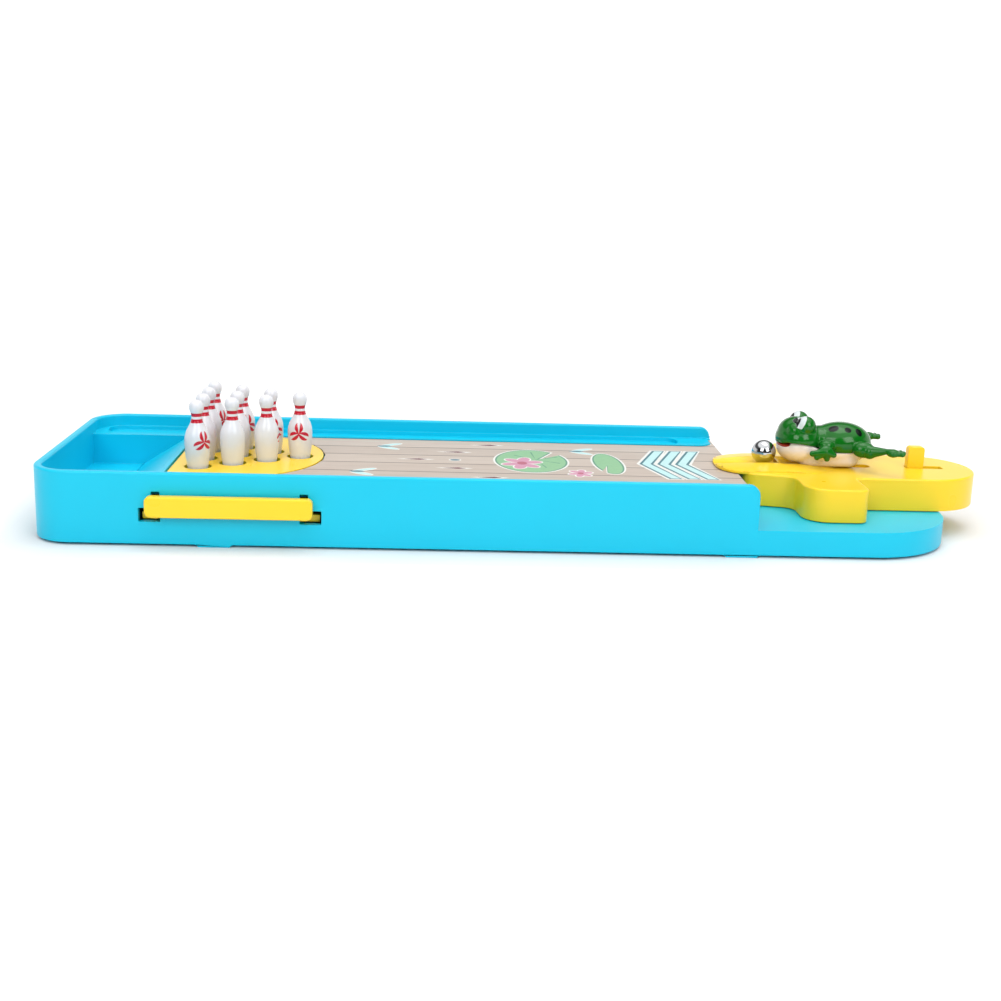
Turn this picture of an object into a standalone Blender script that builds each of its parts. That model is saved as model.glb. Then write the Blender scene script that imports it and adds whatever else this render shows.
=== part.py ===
# Tabletop bowling game: a lane tray, a pin setter that rises, ten pins and a sprung frog launcher.
# The lane runs along X from the storage end (-X) to the launcher (+X), and +Z is up.
# The origin is the middle of the whole game's footprint, on the surface that it stands on.

import math

import bmesh
import bpy
from mathutils import Matrix, Vector

# Shared sizes, in metres
CLEARANCE = 0.0003
OVERRUN = 0.002
WELD_DISTANCE = 0.000001

# Tray: heights are above its bottom edge, and the feet lift that edge off the table
TRAY_LENGTH = 0.355
TRAY_WIDTH = 0.1125
TRAY_WALL = 0.003
RIM_HEIGHT = 0.0274
RIM_END_ROUNDING = 0.0045
DECK_HEIGHT = 0.0225
DECK_THICKNESS = 0.004
STORAGE_END_ROUNDING = 0.015
PLATFORM_LENGTH = 0.081
PLATFORM_HEIGHT = 0.0098
PLATFORM_ROUNDING = 0.035
FLOOR_THICKNESS = 0.0025
FOOT_HEIGHT = 0.001
FOOT_LENGTH = 0.0136
FOOT_SLOPE = 0.001
FRONT_FOOT_PLACE = 0.0691
REAR_FOOT_INSET = 0.0057

# Storage well at the left end, with a ramp up to the deck
WELL_WIDTH = 0.0665
WELL_FLOOR_LENGTH = 0.0215
RAMP_LENGTH = 0.02

# Lane and gutters
SHEET_WIDTH = 0.075
SHEET_THICKNESS = 0.0005
SHEET_STEP = 0.0005
SHEET_END_WIDTH = 0.102
SHEET_FLARE_LENGTH = 0.0007
SHEET_FLARE_ROUNDING = 0.007
GUTTER_WIDTH = 0.0135
GUTTER_DEPTH = 0.0017
GUTTER_KERB = 0.001
GUTTER_END_INSET = 0.016
GUTTER_START = 0.0075
GUTTER_ROUNDING = 0.005

# Ribs under the lane
RIB_THICKNESS = 0.0016
RIB_DEPTH = 0.006
LONG_RIB_SPREAD = 0.044
CROSS_RIB_COUNT = 3

# Pins and the plate that sets them
PIN_ROWS = 4
PIN_SPACING = 0.01456
PIN_HEIGHT = 0.0283
PIN_BASE_RADIUS = 0.004
PIN_BELLY_RADIUS = 0.005
PIN_NECK_RADIUS = 0.00205
PIN_HEAD_RADIUS = 0.0029
PIN_LOW_SHARE = 0.2
PIN_BELLY_SHARE = 0.44
PIN_SHOULDER_SHARE = 0.615
PIN_NECK_SHARE = 0.755
PIN_HEAD_SHARE = 0.9
PIN_HOLE_RADIUS = 0.0053
PLATE_PLACE = 0.0476
PLATE_LENGTH = 0.0573
PLATE_WIDTH = 0.071
PLATE_THICKNESS = 0.0018
PLATE_RISE = 0.0002
PLATE_NOSE_RISE = 0.0205
PLATE_CORNER = 0.0015
PLATE_GAP = 0.0008
FIRST_ROW_INSET = 0.0101
LEG_RADIUS = 0.0017
LEG_SPREAD = 0.061
LEG_INSET = 0.006

# Frame that lifts the plate, and its two side handles
SETTER_MIDDLE = 0.0753
BEAM_WIDTH = 0.0025
BEAM_HEIGHT = 0.004
BEAM_LEVEL = 0.0084
LAP_LENGTH = 0.006
LAP_INSET = 0.0122
RAIL_WIDTH = 0.0074
SETTER_TRAVEL = 0.0055
HANDLE_LENGTH = 0.0619
ARM_INSET = 0.0035
ARM_HEIGHT = 0.0018
ARM_DROP_WIDTH = 0.0025
HANDLE_HEIGHT = 0.008
HANDLE_LEVEL = 0.0111
HANDLE_THICKNESS = 0.0035
HANDLE_STANDOFF = 0.0008
HANDLE_CORNER = 0.0021
SLOT_WIDTH = 0.0031
SLOT_SPARE = 0.0019
NOTCH_WIDTH = 0.0049
NOTCH_HEIGHT = 0.0052
NOTCH_LEVEL = 0.0086
HOOK_LENGTH = 0.0044
HOOK_HEIGHT = 0.0027
HOOK_THICKNESS = 0.0022

# Launcher: lengths along it are measured from its pivot
PIVOT_FROM_LANE = 0.034
PIVOT_RADIUS = 0.004
PIVOT_HOLE_RADIUS = 0.0044
LAUNCHER_TOP = 0.0232
LAUNCHER_WALL = 0.002
NECK_REACH = 0.032
NECK_FRONT_WIDTH = 0.035
NECK_REAR_WIDTH = 0.044
NECK_CORNER = 0.004
LOBE_FRONT = 0.0128
LOBE_REAR = 0.0118
LOBE_SPREAD = 0.0874
LOBE_FRONT_CORNER = 0.01
LOBE_REAR_CORNER = 0.004
LOBE_FILLET = 0.004
TAIL_FILLET = 0.0008
TAIL_RADIUS = 0.0228
TAIL_REACH = 0.0663
TIP_REACH = 0.0427
TIP_WIDTH = 0.034
TIP_CORNER = 0.014
TIP_LEVEL = 0.0003
DOME_LENGTH = 0.066
DOME_WIDTH = 0.052
DOME_HEIGHT = 0.0052
DOME_TOP = 0.0253
DOME_PLACE = 0.018
GROOVE_RADIUS = 0.009
GROOVE_LEVEL = 0.0229
GROOVE_END = 0.016
TROUGH_RADIUS = 0.011
TROUGH_DEPTH = 0.0005
BALL_RADIUS = 0.0051
BALL_PLACE = 0.0213
COVER_THICKNESS = 0.0024
BOSS_RADIUS = 0.003
TAIL_BOSS_PLACE = 0.054
TAIL_BOSS_SPREAD = 0.024
LOBE_BOSS_SPREAD = 0.066

# Striker: the slider with its tab, the spring behind it and the frog on it
STRIKER_TRAVEL = 0.008
SLIDER_WIDTH = 0.012
SLIDER_THICKNESS = 0.003
SLIDER_FRONT = 0.008
SLIDER_REAR_MARGIN = 0.0024
SLIDER_PLATE_THICKNESS = 0.002
SLIDER_PLATE_DEPTH = 0.002
NUB_RADIUS = 0.0014
NUB_LENGTH = 0.0015
TAB_PLACE = 0.0422
TAB_LENGTH = 0.0068
TAB_THICKNESS = 0.004
TAB_HEIGHT = 0.0089
TAB_CORNER = 0.0014
GUIDE_THICKNESS = 0.0016
GUIDE_DEPTH = 0.0042
REST_SPREAD = 0.0096
SPRING_RADIUS = 0.0024
SPRING_WIRE_RADIUS = 0.00025
SPRING_TURNS = 7
TURN_POINTS = 8
STUD_RADIUS = 0.0025
STUD_PLACE = 0.0127
SLOT_SIDE_GAP = 0.0003

# Frog: places are along the launcher from its pivot, and levels are above the launcher's roof
HULL_PLACE = 0.0039
HULL_LENGTH = 0.039
HULL_WIDTH = 0.0192
HULL_HEIGHT = 0.014
JAW_PLACE = -0.007
JAW_LENGTH = 0.0184
JAW_WIDTH = 0.0198
JAW_HEIGHT = 0.013
JAW_LEVEL = 0.0078
BELLY_PLACE = 0.002
BELLY_LENGTH = 0.0379
BELLY_HEIGHT = 0.0102
LIP_SHARES = ((-0.1, 0.9), (0.14, 1.0), (0.28, 0.99), (0.43, 0.88), (0.64, 0.65), (0.86, 0.65), (1.1, 0.65))
HEAD_PLACE = -0.0075
HEAD_LENGTH = 0.0186
HEAD_WIDTH = 0.021
HEAD_HEIGHT = 0.015
HEAD_LEVEL = 0.0113
TORSO_PLACE = 0.0105
TORSO_LENGTH = 0.026
TORSO_WIDTH = 0.02
TORSO_HEIGHT = 0.016
TORSO_LEVEL = 0.0103
EYE_PLACE = -0.0061
EYE_RADIUS = 0.0041
EYE_SPREAD = 0.0117
EYE_LEVEL = 0.0174
ARM_RADIUS = 0.0019
WRIST_SHARE = 0.7
SHOULDER_LENGTH = 0.0061
SHOULDER_WIDTH = 0.0038
SHOULDER_HEIGHT = 0.0049
SHOULDER_PLACE = 0.003
SHOULDER_SPREAD = 0.0178
SHOULDER_LEVEL = 0.0115
HAND_PLACE = 0.0004
HAND_SPREAD = 0.023
HAND_LEVEL = 0.0073
HAND_LENGTH = 0.0072
PALM_SHARE = 0.6
PALM_THICKNESS = 0.002
FINGER_RADIUS = 0.00085
FINGERTIP_WIDTH = 0.0019
FINGER_END_SHARE = 0.8
FINGER_ROOT_SHARE = 0.3
FINGER_SHARES = ((-0.62, 0.02), (-0.52, -0.3), (0.16, -0.34), (0.56, -0.22))
THIGH_PLACE = 0.0165
THIGH_LENGTH = 0.0115
THIGH_HEIGHT = 0.0066
THIGH_WIDTH = 0.0062
THIGH_SPREAD = 0.0216
THIGH_LEVEL = 0.0088
KNEE_PLACE = 0.0175
CALF_RADIUS = 0.0022
ANKLE_PLACE = 0.0243
ANKLE_SPREAD = 0.0325
FOOT_PLACE = 0.0269
FOOT_SPREAD = 0.035
FOOT_LEVEL = 0.0092
FROG_FOOT_LENGTH = 0.007
FROG_FOOT_WIDTH = 0.0057
FROG_FOOT_HEIGHT = 0.0038
TOE_SHARES = ((0.55, -0.3), (0.66, 0.02), (0.52, 0.32))

# Screws and the washer
COVER_SCREW_RADIUS = 0.0012
COVER_SCREW_LENGTH = 0.0075
SCREW_HEAD_RADIUS = 0.0022
SCREW_HEAD_THICKNESS = 0.0012
PIVOT_SCREW_RADIUS = 0.0015
PIVOT_SCREW_LENGTH = 0.009
PIVOT_HEAD_RADIUS = 0.0032
PIVOT_HEAD_THICKNESS = 0.0018
WASHER_RADIUS = 0.007
WASHER_THICKNESS = 0.001

# Facets
ARC_STEP_ANGLE = math.radians(15)
ROUND_SIDES = 24
HOLE_SIDES = 16
SMALL_SIDES = 12
BODY_SIDES = 18
BODY_RINGS = 10
SOFT_SIDES = 10
SOFT_RINGS = 6
TIP_SIDES = 7
TIP_RINGS = 4
DOME_SIDES = 36
DOME_RINGS = 14
PIN_SIDES = 12
SMOOTH_ANGLE = math.radians(40)

# Worked out from the sizes above
OVERALL_LENGTH = TRAY_LENGTH - PLATFORM_LENGTH + PIVOT_FROM_LANE + TAIL_REACH
TRAY_START = -OVERALL_LENGTH / 2
TRAY_END = TRAY_START + TRAY_LENGTH
LANE_END = TRAY_END - PLATFORM_LENGTH
HALF_WIDTH = TRAY_WIDTH / 2
RIM_TOP = FOOT_HEIGHT + RIM_HEIGHT
DECK_TOP = FOOT_HEIGHT + DECK_HEIGHT
DECK_UNDERSIDE = DECK_TOP - DECK_THICKNESS
SHEET_TOP = DECK_TOP - SHEET_STEP
SHEET_BED = SHEET_TOP - SHEET_THICKNESS - CLEARANCE
PLATFORM_TOP = FOOT_HEIGHT + PLATFORM_HEIGHT
PLATE_TOP = SHEET_TOP + PLATE_RISE
PLATE_UNDERSIDE = PLATE_TOP - PLATE_THICKNESS
PIN_BED = PLATE_UNDERSIDE - CLEARANCE
SETTER_X = TRAY_START + SETTER_MIDDLE
PLATE_START = TRAY_START + PLATE_PLACE
PLATE_END = PLATE_START + PLATE_LENGTH
PLATE_NOSE_RADIUS = ((PLATE_WIDTH / 2) ** 2 + PLATE_NOSE_RISE ** 2) / (PLATE_NOSE_RISE * 2)
BEAM_SPACING = HANDLE_LENGTH - ARM_INSET * 2
BEAM_BOTTOM = FOOT_HEIGHT + BEAM_LEVEL
BEAM_TOP = BEAM_BOTTOM + BEAM_HEIGHT
PIVOT_X = LANE_END + PIVOT_FROM_LANE
LAUNCHER_BOTTOM = PLATFORM_TOP + CLEARANCE
LAUNCHER_ROOF = FOOT_HEIGHT + LAUNCHER_TOP
LAUNCHER_CEILING = LAUNCHER_ROOF - LAUNCHER_WALL
SLIDER_TOP = LAUNCHER_CEILING - CLEARANCE
SLIDER_BOTTOM = SLIDER_TOP - SLIDER_THICKNESS
COVER_TOP = LAUNCHER_BOTTOM + COVER_THICKNESS
SLIDER_LENGTH = TAB_PLACE + TAB_LENGTH / 2 + SLIDER_REAR_MARGIN - SLIDER_FRONT


def material(name, colour, roughness, metallic=0.0):
    made = bpy.data.materials.new(name)
    made.use_nodes = True
    shader = made.node_tree.nodes["Principled BSDF"]
    shader.inputs["Base Color"].default_value = (*colour, 1.0)
    shader.inputs["Roughness"].default_value = roughness
    shader.inputs["Metallic"].default_value = metallic
    return made


def arc(middle, radius, start, end):
    """Points on an arc around middle, from the start angle to the end angle."""
    steps = max(2, math.ceil(abs(end - start) / ARC_STEP_ANGLE))
    angles = [start + (end - start) * step / steps for step in range(steps + 1)]
    return [(middle[0] + radius * math.cos(a), middle[1] + radius * math.sin(a)) for a in angles]


def rounded(corners):
    """An outline from (x, y, rounding) corners, each corner turned into an arc of its rounding."""
    outline = []
    for index, (x, y, rounding) in enumerate(corners):
        here = Vector((x, y))
        before = (Vector(corners[index - 1][:2]) - here).normalized()
        after = (Vector(corners[(index + 1) % len(corners)][:2]) - here).normalized()
        if not rounding:
            outline.append((x, y))
            continue
        half = before.angle(after) / 2
        middle = here + (before + after).normalized() * (rounding / math.sin(half))
        first = here + before * (rounding / math.tan(half)) - middle
        last = here + after * (rounding / math.tan(half)) - middle
        start = math.atan2(first.y, first.x)
        turn = math.remainder(math.atan2(last.y, last.x) - start, 2 * math.pi)
        outline += arc(middle, rounding, start, start + turn)
    return outline


def inset(corners, distance):
    """The same anticlockwise corners moved inwards by distance, with their roundings to match."""
    moved = []
    for index, (x, y, rounding) in enumerate(corners):
        here = Vector((x, y))
        along = (here - Vector(corners[index - 1][:2])).normalized()
        onward = (Vector(corners[(index + 1) % len(corners)][:2]) - here).normalized()
        inward = Vector((-along.y, along.x))
        next_inward = Vector((-onward.y, onward.x))
        shift = (inward + next_inward) * (distance / (1 + inward.dot(next_inward)))
        turns_left = along.cross(onward) > 0
        new_rounding = rounding - distance if turns_left else rounding + distance
        moved.append((x + shift.x, y + shift.y, max(new_rounding, 0) if rounding else 0))
    return moved


def mirrored(corners):
    """Corners of a half outline on the +Y side, given from -X to +X, with their mirror images."""
    below = [(x, -y, rounding) for x, y, rounding in corners]
    above = list(reversed(corners))
    return below + above


def place(obj, collection, coat=None):
    for owner in obj.users_collection:
        owner.objects.unlink(obj)
    collection.objects.link(obj)
    if coat:
        obj.data.materials.clear()
        obj.data.materials.append(coat)
    return obj


def as_cutter(obj):
    place(obj, cutters)
    obj.hide_render = True
    obj.display_type = "WIRE"
    return obj


def mesh_object(name, mesh):
    obj = bpy.data.objects.new(name, mesh)
    cutters.objects.link(obj)
    return obj


def solid(name, shape):
    """The shape as an object, smooth where its faces meet at less than the smooth angle."""
    mesh = bpy.data.meshes.new(name)
    shape.to_mesh(mesh)
    shape.free()
    mesh.shade_smooth()
    mesh.set_sharp_from_angle(angle=SMOOTH_ANGLE)
    return mesh_object(name, mesh)


def curve_to_mesh(curve_obj):
    """The filled curve as a mesh with welded caps, in the curve's place."""
    bpy.context.view_layer.update()
    evaluated = curve_obj.evaluated_get(bpy.context.evaluated_depsgraph_get())
    mesh = bpy.data.meshes.new_from_object(evaluated)
    shape = bmesh.new()
    shape.from_mesh(mesh)
    bmesh.ops.remove_doubles(shape, verts=shape.verts, dist=WELD_DISTANCE)
    bmesh.ops.recalc_face_normals(shape, faces=shape.faces)
    bpy.data.meshes.remove(mesh)
    name = curve_obj.name
    matrix = curve_obj.matrix_world.copy()
    bpy.data.objects.remove(curve_obj)
    obj = solid(name, shape)
    obj.matrix_world = matrix
    return obj


def flat_outline(name, outline, thickness):
    curve = bpy.data.curves.new(name, "CURVE")
    curve.dimensions = "2D"
    curve.fill_mode = "BOTH"
    curve.extrude = thickness / 2
    spline = curve.splines.new("POLY")
    spline.points.add(len(outline) - 1)
    for point, (x, y) in zip(spline.points, outline):
        point.co = (x, y, 0, 1)
    spline.use_cyclic_u = True
    obj = bpy.data.objects.new(name, curve)
    cutters.objects.link(obj)
    return obj


def slab(name, outline, low, high):
    """A plan outline raised from low to high."""
    obj = flat_outline(name, outline, high - low)
    obj.location.z = (low + high) / 2
    return curve_to_mesh(obj)


def side_profile(name, outline, front, back):
    """An outline of (x, z) points drawn out along Y from front to back."""
    obj = flat_outline(name, outline, back - front)
    obj.rotation_euler.x = math.pi / 2
    obj.location.y = (front + back) / 2
    return curve_to_mesh(obj)


def end_profile(name, outline, start, end):
    """An outline of (y, z) points drawn out along X from start to end."""
    obj = flat_outline(name, outline, end - start)
    obj.rotation_euler = (math.pi / 2, 0, math.pi / 2)
    obj.location.x = (start + end) / 2
    return curve_to_mesh(obj)


def block(name, low, high):
    """A box between two opposite corners."""
    shape = bmesh.new()
    bmesh.ops.create_cube(shape, size=1)
    size = Vector(high) - Vector(low)
    middle = (Vector(high) + Vector(low)) / 2
    placed = Matrix.Translation(middle) @ Matrix.Diagonal((*size, 1))
    bmesh.ops.transform(shape, matrix=placed, verts=shape.verts)
    return solid(name, shape)


def drum(name, x, y, low, high, radius, sides=SMALL_SIDES):
    """An upright cylinder."""
    shape = bmesh.new()
    bmesh.ops.create_cone(
        shape,
        cap_ends=True,
        segments=sides,
        radius1=radius,
        radius2=radius,
        depth=high - low,
    )
    bmesh.ops.translate(shape, vec=(x, y, (low + high) / 2), verts=shape.verts)
    return solid(name, shape)


def ellipsoid(name, middle, size, sides=SOFT_SIDES, rings=SOFT_RINGS):
    """A stretched ball with its poles up and down."""
    shape = bmesh.new()
    bmesh.ops.create_uvsphere(shape, u_segments=sides, v_segments=rings, radius=1)
    stretch = Matrix.Diagonal((size[0] / 2, size[1] / 2, size[2] / 2, 1))
    bmesh.ops.transform(shape, matrix=Matrix.Translation(middle) @ stretch, verts=shape.verts)
    return solid(name, shape)


def limb(name, start, end, radius, end_radius, sides=SMALL_SIDES):
    """A tapered round bar between two points."""
    start = Vector(start)
    end = Vector(end)
    shape = bmesh.new()
    bmesh.ops.create_cone(
        shape,
        cap_ends=True,
        segments=sides,
        radius1=radius,
        radius2=end_radius,
        depth=(end - start).length,
    )
    turn = (end - start).to_track_quat("Z", "Y").to_matrix().to_4x4()
    moved = Matrix.Translation((start + end) / 2) @ turn
    bmesh.ops.transform(shape, matrix=moved, verts=shape.verts)
    return solid(name, shape)


def turned(name, profile, sides):
    """A profile of (radius, height) points from the top down, turned about the upright axis."""
    mesh = bpy.data.meshes.new(name)
    edges = [(index, index + 1) for index in range(len(profile) - 1)]
    mesh.from_pydata([(radius, 0, height) for radius, height in profile], edges, [])
    obj = mesh_object(name, mesh)
    screw = obj.modifiers.new("Turn", "SCREW")
    screw.steps = sides
    screw.render_steps = sides
    screw.use_merge_vertices = True
    screw.merge_threshold = WELD_DISTANCE
    return obj


def combine(target, operation, operands, solver="EXACT"):
    for operand in operands:
        step = target.modifiers.new(operand.name, "BOOLEAN")
        step.operation = operation
        step.solver = solver
        step.object = as_cutter(operand)
    return target


def cut(target, *operands):
    return combine(target, "DIFFERENCE", operands)


def join(target, *operands):
    return combine(target, "UNION", operands)


def keep_within(target, *operands):
    return combine(target, "INTERSECT", operands)


def tray_corners():
    """The tray's plan, anticlockwise from the front left."""
    return [
        (TRAY_START, -HALF_WIDTH, STORAGE_END_ROUNDING),
        (TRAY_END, -HALF_WIDTH, PLATFORM_ROUNDING),
        (TRAY_END, HALF_WIDTH, PLATFORM_ROUNDING),
        (TRAY_START, HALF_WIDTH, STORAGE_END_ROUNDING),
    ]


def tray_side():
    """The tray's side view: full height along the lane, and the low platform under the launcher."""
    return rounded([
        (TRAY_START - OVERRUN, FOOT_HEIGHT, 0),
        (TRAY_END + OVERRUN, FOOT_HEIGHT, 0),
        (TRAY_END + OVERRUN, PLATFORM_TOP, 0),
        (LANE_END, PLATFORM_TOP, 0),
        (LANE_END, RIM_TOP, RIM_END_ROUNDING),
        (TRAY_START - OVERRUN, RIM_TOP, 0),
    ])


def well_side(drop):
    """The storage floor and ramp in side view, lowered by drop, open above."""
    floor_start = TRAY_START + TRAY_WALL
    ramp_start = floor_start + WELL_FLOOR_LENGTH
    slope = (DECK_TOP - PLATFORM_TOP) / RAMP_LENGTH
    return floor_start, ramp_start, slope, PLATFORM_TOP - drop


def plate_outline(gap):
    """The pin plate's plan grown by gap: straight sides and a round nose towards the launcher."""
    half = PLATE_WIDTH / 2 + gap
    start = PLATE_START - gap
    nose = PLATE_NOSE_RADIUS + gap
    nose_middle = PLATE_END - PLATE_NOSE_RADIUS
    angle = math.atan2(half, math.sqrt(nose ** 2 - half ** 2))
    corner = PLATE_CORNER + gap
    back = arc((start + corner, half - corner), corner, math.pi / 2, math.pi)
    front = arc((start + corner, -half + corner), corner, math.pi, math.pi * 3 / 2)
    return arc((nose_middle, 0), nose, -angle, angle) + back + front


def sheet_corners(gap, end):
    """The lane sheet's plan grown by gap, wider where it runs past the rounded ends of the margins."""
    half = SHEET_WIDTH / 2 + gap
    end_half = SHEET_END_WIDTH / 2 + gap
    flare = LANE_END - CLEARANCE - SHEET_FLARE_LENGTH - gap
    start = PLATE_END - PLATE_NOSE_RISE
    return mirrored([
        (start - gap, half, 0),
        (flare, half, SHEET_FLARE_ROUNDING - gap),
        (flare, end_half, 0),
        (end, end_half, 0),
    ])


def gutter_corners(side):
    near = side * (SHEET_WIDTH / 2 + CLEARANCE + GUTTER_KERB)
    far = near + side * GUTTER_WIDTH
    low, high = sorted((near, far))
    start = TRAY_START + GUTTER_START
    end = LANE_END - GUTTER_END_INSET
    return [
        (start, low, GUTTER_ROUNDING),
        (end, low, GUTTER_ROUNDING),
        (end, high, GUTTER_ROUNDING),
        (start, high, GUTTER_ROUNDING),
    ]


def leg_places():
    """Where the pin plate's legs pass through the deck."""
    first = PLATE_START + LEG_INSET
    second = PLATE_END - PLATE_NOSE_RADIUS + LEG_INSET * 2
    return [(x, side * LEG_SPREAD / 2) for x in (first, second) for side in (-1, 1)]


def pin_places():
    """The ten pins' centres, from the back row of four to the head pin."""
    places = []
    for row in range(PIN_ROWS):
        x = PLATE_START + FIRST_ROW_INSET + row * PIN_SPACING * math.sin(math.pi / 3)
        count = PIN_ROWS - row
        places += [(x, (index - (count - 1) / 2) * PIN_SPACING) for index in range(count)]
    return places


def underside_cutter():
    """The hollow under the tray, which follows the well, the ramp, the deck and the platform."""
    start, ramp_start, slope, floor = well_side(FLOOR_THICKNESS)
    ramp_drop = FLOOR_THICKNESS * math.sqrt(1 + slope * slope)
    ramp_end = ramp_start + (DECK_UNDERSIDE - PLATFORM_TOP + ramp_drop) / slope
    ramp_low = ramp_start + (ramp_drop - FLOOR_THICKNESS) / slope
    lane_wall = LANE_END - TRAY_WALL
    profile = [
        (start - OVERRUN, -OVERRUN),
        (TRAY_END + OVERRUN, -OVERRUN),
        (TRAY_END + OVERRUN, floor),
        (lane_wall, floor),
        (lane_wall, DECK_UNDERSIDE),
        (ramp_end, DECK_UNDERSIDE),
        (ramp_low, floor),
        (start - OVERRUN, floor),
    ]
    hollow = side_profile("underside_hollow", profile, -HALF_WIDTH, HALF_WIDTH)
    for side in (-1, 1):
        near, far = sorted((side * (WELL_WIDTH / 2 + FLOOR_THICKNESS), side * HALF_WIDTH))
        low = (start - OVERRUN, near, -OVERRUN)
        join(hollow, block("margin_hollow", low, (ramp_end + OVERRUN, far, DECK_UNDERSIDE)))
    walls = slab("underside_walls", rounded(inset(tray_corners(), TRAY_WALL)), -OVERRUN * 2, RIM_TOP)
    return keep_within(hollow, walls)


def rib_grid():
    """Two long ribs and the cross ribs between them, under the lane."""
    low = DECK_UNDERSIDE - RIB_DEPTH
    high = DECK_UNDERSIDE + OVERRUN / 2
    start = PLATE_END + LEG_INSET
    end = LANE_END - TRAY_WALL / 2
    half = RIB_THICKNESS / 2
    ribs = []
    for side in (-1, 1):
        y = side * LONG_RIB_SPREAD / 2
        ribs.append(block("long_rib", (start, y - half, low), (end, y + half, high)))
    for index in range(CROSS_RIB_COUNT):
        x = start + half + (end - start) * index / CROSS_RIB_COUNT
        reach = HALF_WIDTH - TRAY_WALL / 2
        ribs.append(block("cross_rib", (x - half, -reach, low), (x + half, reach, high)))
    return ribs


def foot_blocks():
    """Four low feet with sloped ends along the side walls' bottom edge."""
    feet = []
    places = (TRAY_START + FRONT_FOOT_PLACE, LANE_END - REAR_FOOT_INSET)
    for x in places:
        half = FOOT_LENGTH / 2
        profile = [
            (x - half + FOOT_SLOPE, 0),
            (x + half - FOOT_SLOPE, 0),
            (x + half, FOOT_HEIGHT),
            (x + half, FOOT_HEIGHT + OVERRUN / 2),
            (x - half, FOOT_HEIGHT + OVERRUN / 2),
            (x - half, FOOT_HEIGHT),
        ]
        feet.append(side_profile("foot", profile, -HALF_WIDTH, -HALF_WIDTH + TRAY_WALL))
        feet.append(side_profile("foot", profile, HALF_WIDTH - TRAY_WALL, HALF_WIDTH))
    return feet


def slot_cutters():
    """The handles' upright slots, each with a notch on its outer side, in both side walls."""
    cuts = []
    slot_height = BEAM_HEIGHT + SETTER_TRAVEL + SLOT_SPARE
    for side in (-1, 1):
        outer = side * (HALF_WIDTH + OVERRUN)
        inner = side * (HALF_WIDTH - TRAY_WALL - CLEARANCE)
        low_y, high_y = sorted((outer, inner))
        for end in (-1, 1):
            x = SETTER_X + end * BEAM_SPACING / 2
            low = BEAM_BOTTOM + CLEARANCE
            half = SLOT_WIDTH / 2
            cuts.append(block("slot", (x - half, low_y, low), (x + half, high_y, low + slot_height)))
            notch_low = FOOT_HEIGHT + NOTCH_LEVEL
            near, far = sorted((x, x + end * (half + NOTCH_WIDTH)))
            cuts.append(block("notch", (near, low_y, notch_low), (far, high_y, notch_low + NOTCH_HEIGHT)))
    return cuts


def make_base_tray():
    tray = side_profile("base_tray", tray_side(), -HALF_WIDTH - OVERRUN, HALF_WIDTH + OVERRUN)
    keep_within(tray, slab("tray_plan", rounded(tray_corners()), 0, RIM_TOP + OVERRUN))
    inner = inset(tray_corners(), TRAY_WALL)
    over_end = LANE_END + OVERRUN
    channel = [
        inner[0],
        (over_end, inner[1][1], 0),
        (over_end, inner[2][1], 0),
        inner[3],
    ]
    cut(tray, slab("channel", rounded(channel), DECK_TOP, RIM_TOP + OVERRUN))
    cut(tray, slab("sheet_bed", rounded(sheet_corners(CLEARANCE, LANE_END + OVERRUN)), SHEET_BED, RIM_TOP))
    cut(tray, slab("plate_bed", plate_outline(PLATE_GAP), PIN_BED, RIM_TOP))
    for side in (-1, 1):
        gutter = slab("gutter", rounded(gutter_corners(side)), DECK_TOP - GUTTER_DEPTH, RIM_TOP)
        cut(tray, gutter)
    start, ramp_start, slope, floor = well_side(0)
    rise = DECK_TOP + OVERRUN - floor
    well = [
        (start, floor),
        (ramp_start, floor),
        (ramp_start + rise / slope, floor + rise),
        (start, floor + rise),
    ]
    cut(tray, side_profile("storage_well", well, -WELL_WIDTH / 2, WELL_WIDTH / 2))
    cut(tray, underside_cutter())
    join(tray, *rib_grid())
    join(tray, *foot_blocks())
    cut(tray, *slot_cutters())
    for x, y in leg_places():
        hole = LEG_RADIUS + CLEARANCE * 2
        cut(tray, drum("leg_hole", x, y, DECK_UNDERSIDE - OVERRUN, PLATE_TOP, hole))
    low = PLATFORM_TOP - FLOOR_THICKNESS - OVERRUN
    high = PLATFORM_TOP + OVERRUN
    cut(tray, drum("pivot_hole", PIVOT_X, 0, low, high, PIVOT_HOLE_RADIUS, ROUND_SIDES))
    return place(tray, game, cyan)


def make_lane_sheet():
    outline = rounded(sheet_corners(0, LANE_END - CLEARANCE))
    sheet = slab("lane_sheet", outline, SHEET_TOP - SHEET_THICKNESS, SHEET_TOP)
    cut(sheet, slab("sheet_notch", plate_outline(PLATE_GAP), SHEET_BED - OVERRUN, RIM_TOP))
    return place(sheet, game, printed)


def make_pin_plate():
    plate = slab("pin_plate", plate_outline(0), PLATE_UNDERSIDE, PLATE_TOP)
    for x, y in pin_places():
        low = PLATE_UNDERSIDE - OVERRUN
        high = PLATE_TOP + OVERRUN
        cut(plate, drum("pin_hole", x, y, low, high, PIN_HOLE_RADIUS, HOLE_SIDES))
    for x, y in leg_places():
        foot = BEAM_TOP - BEAM_HEIGHT / 2
        join(plate, drum("leg", x, y, foot, PLATE_UNDERSIDE + PLATE_THICKNESS / 2, LEG_RADIUS))
    return place(plate, game, yellow)


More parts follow.
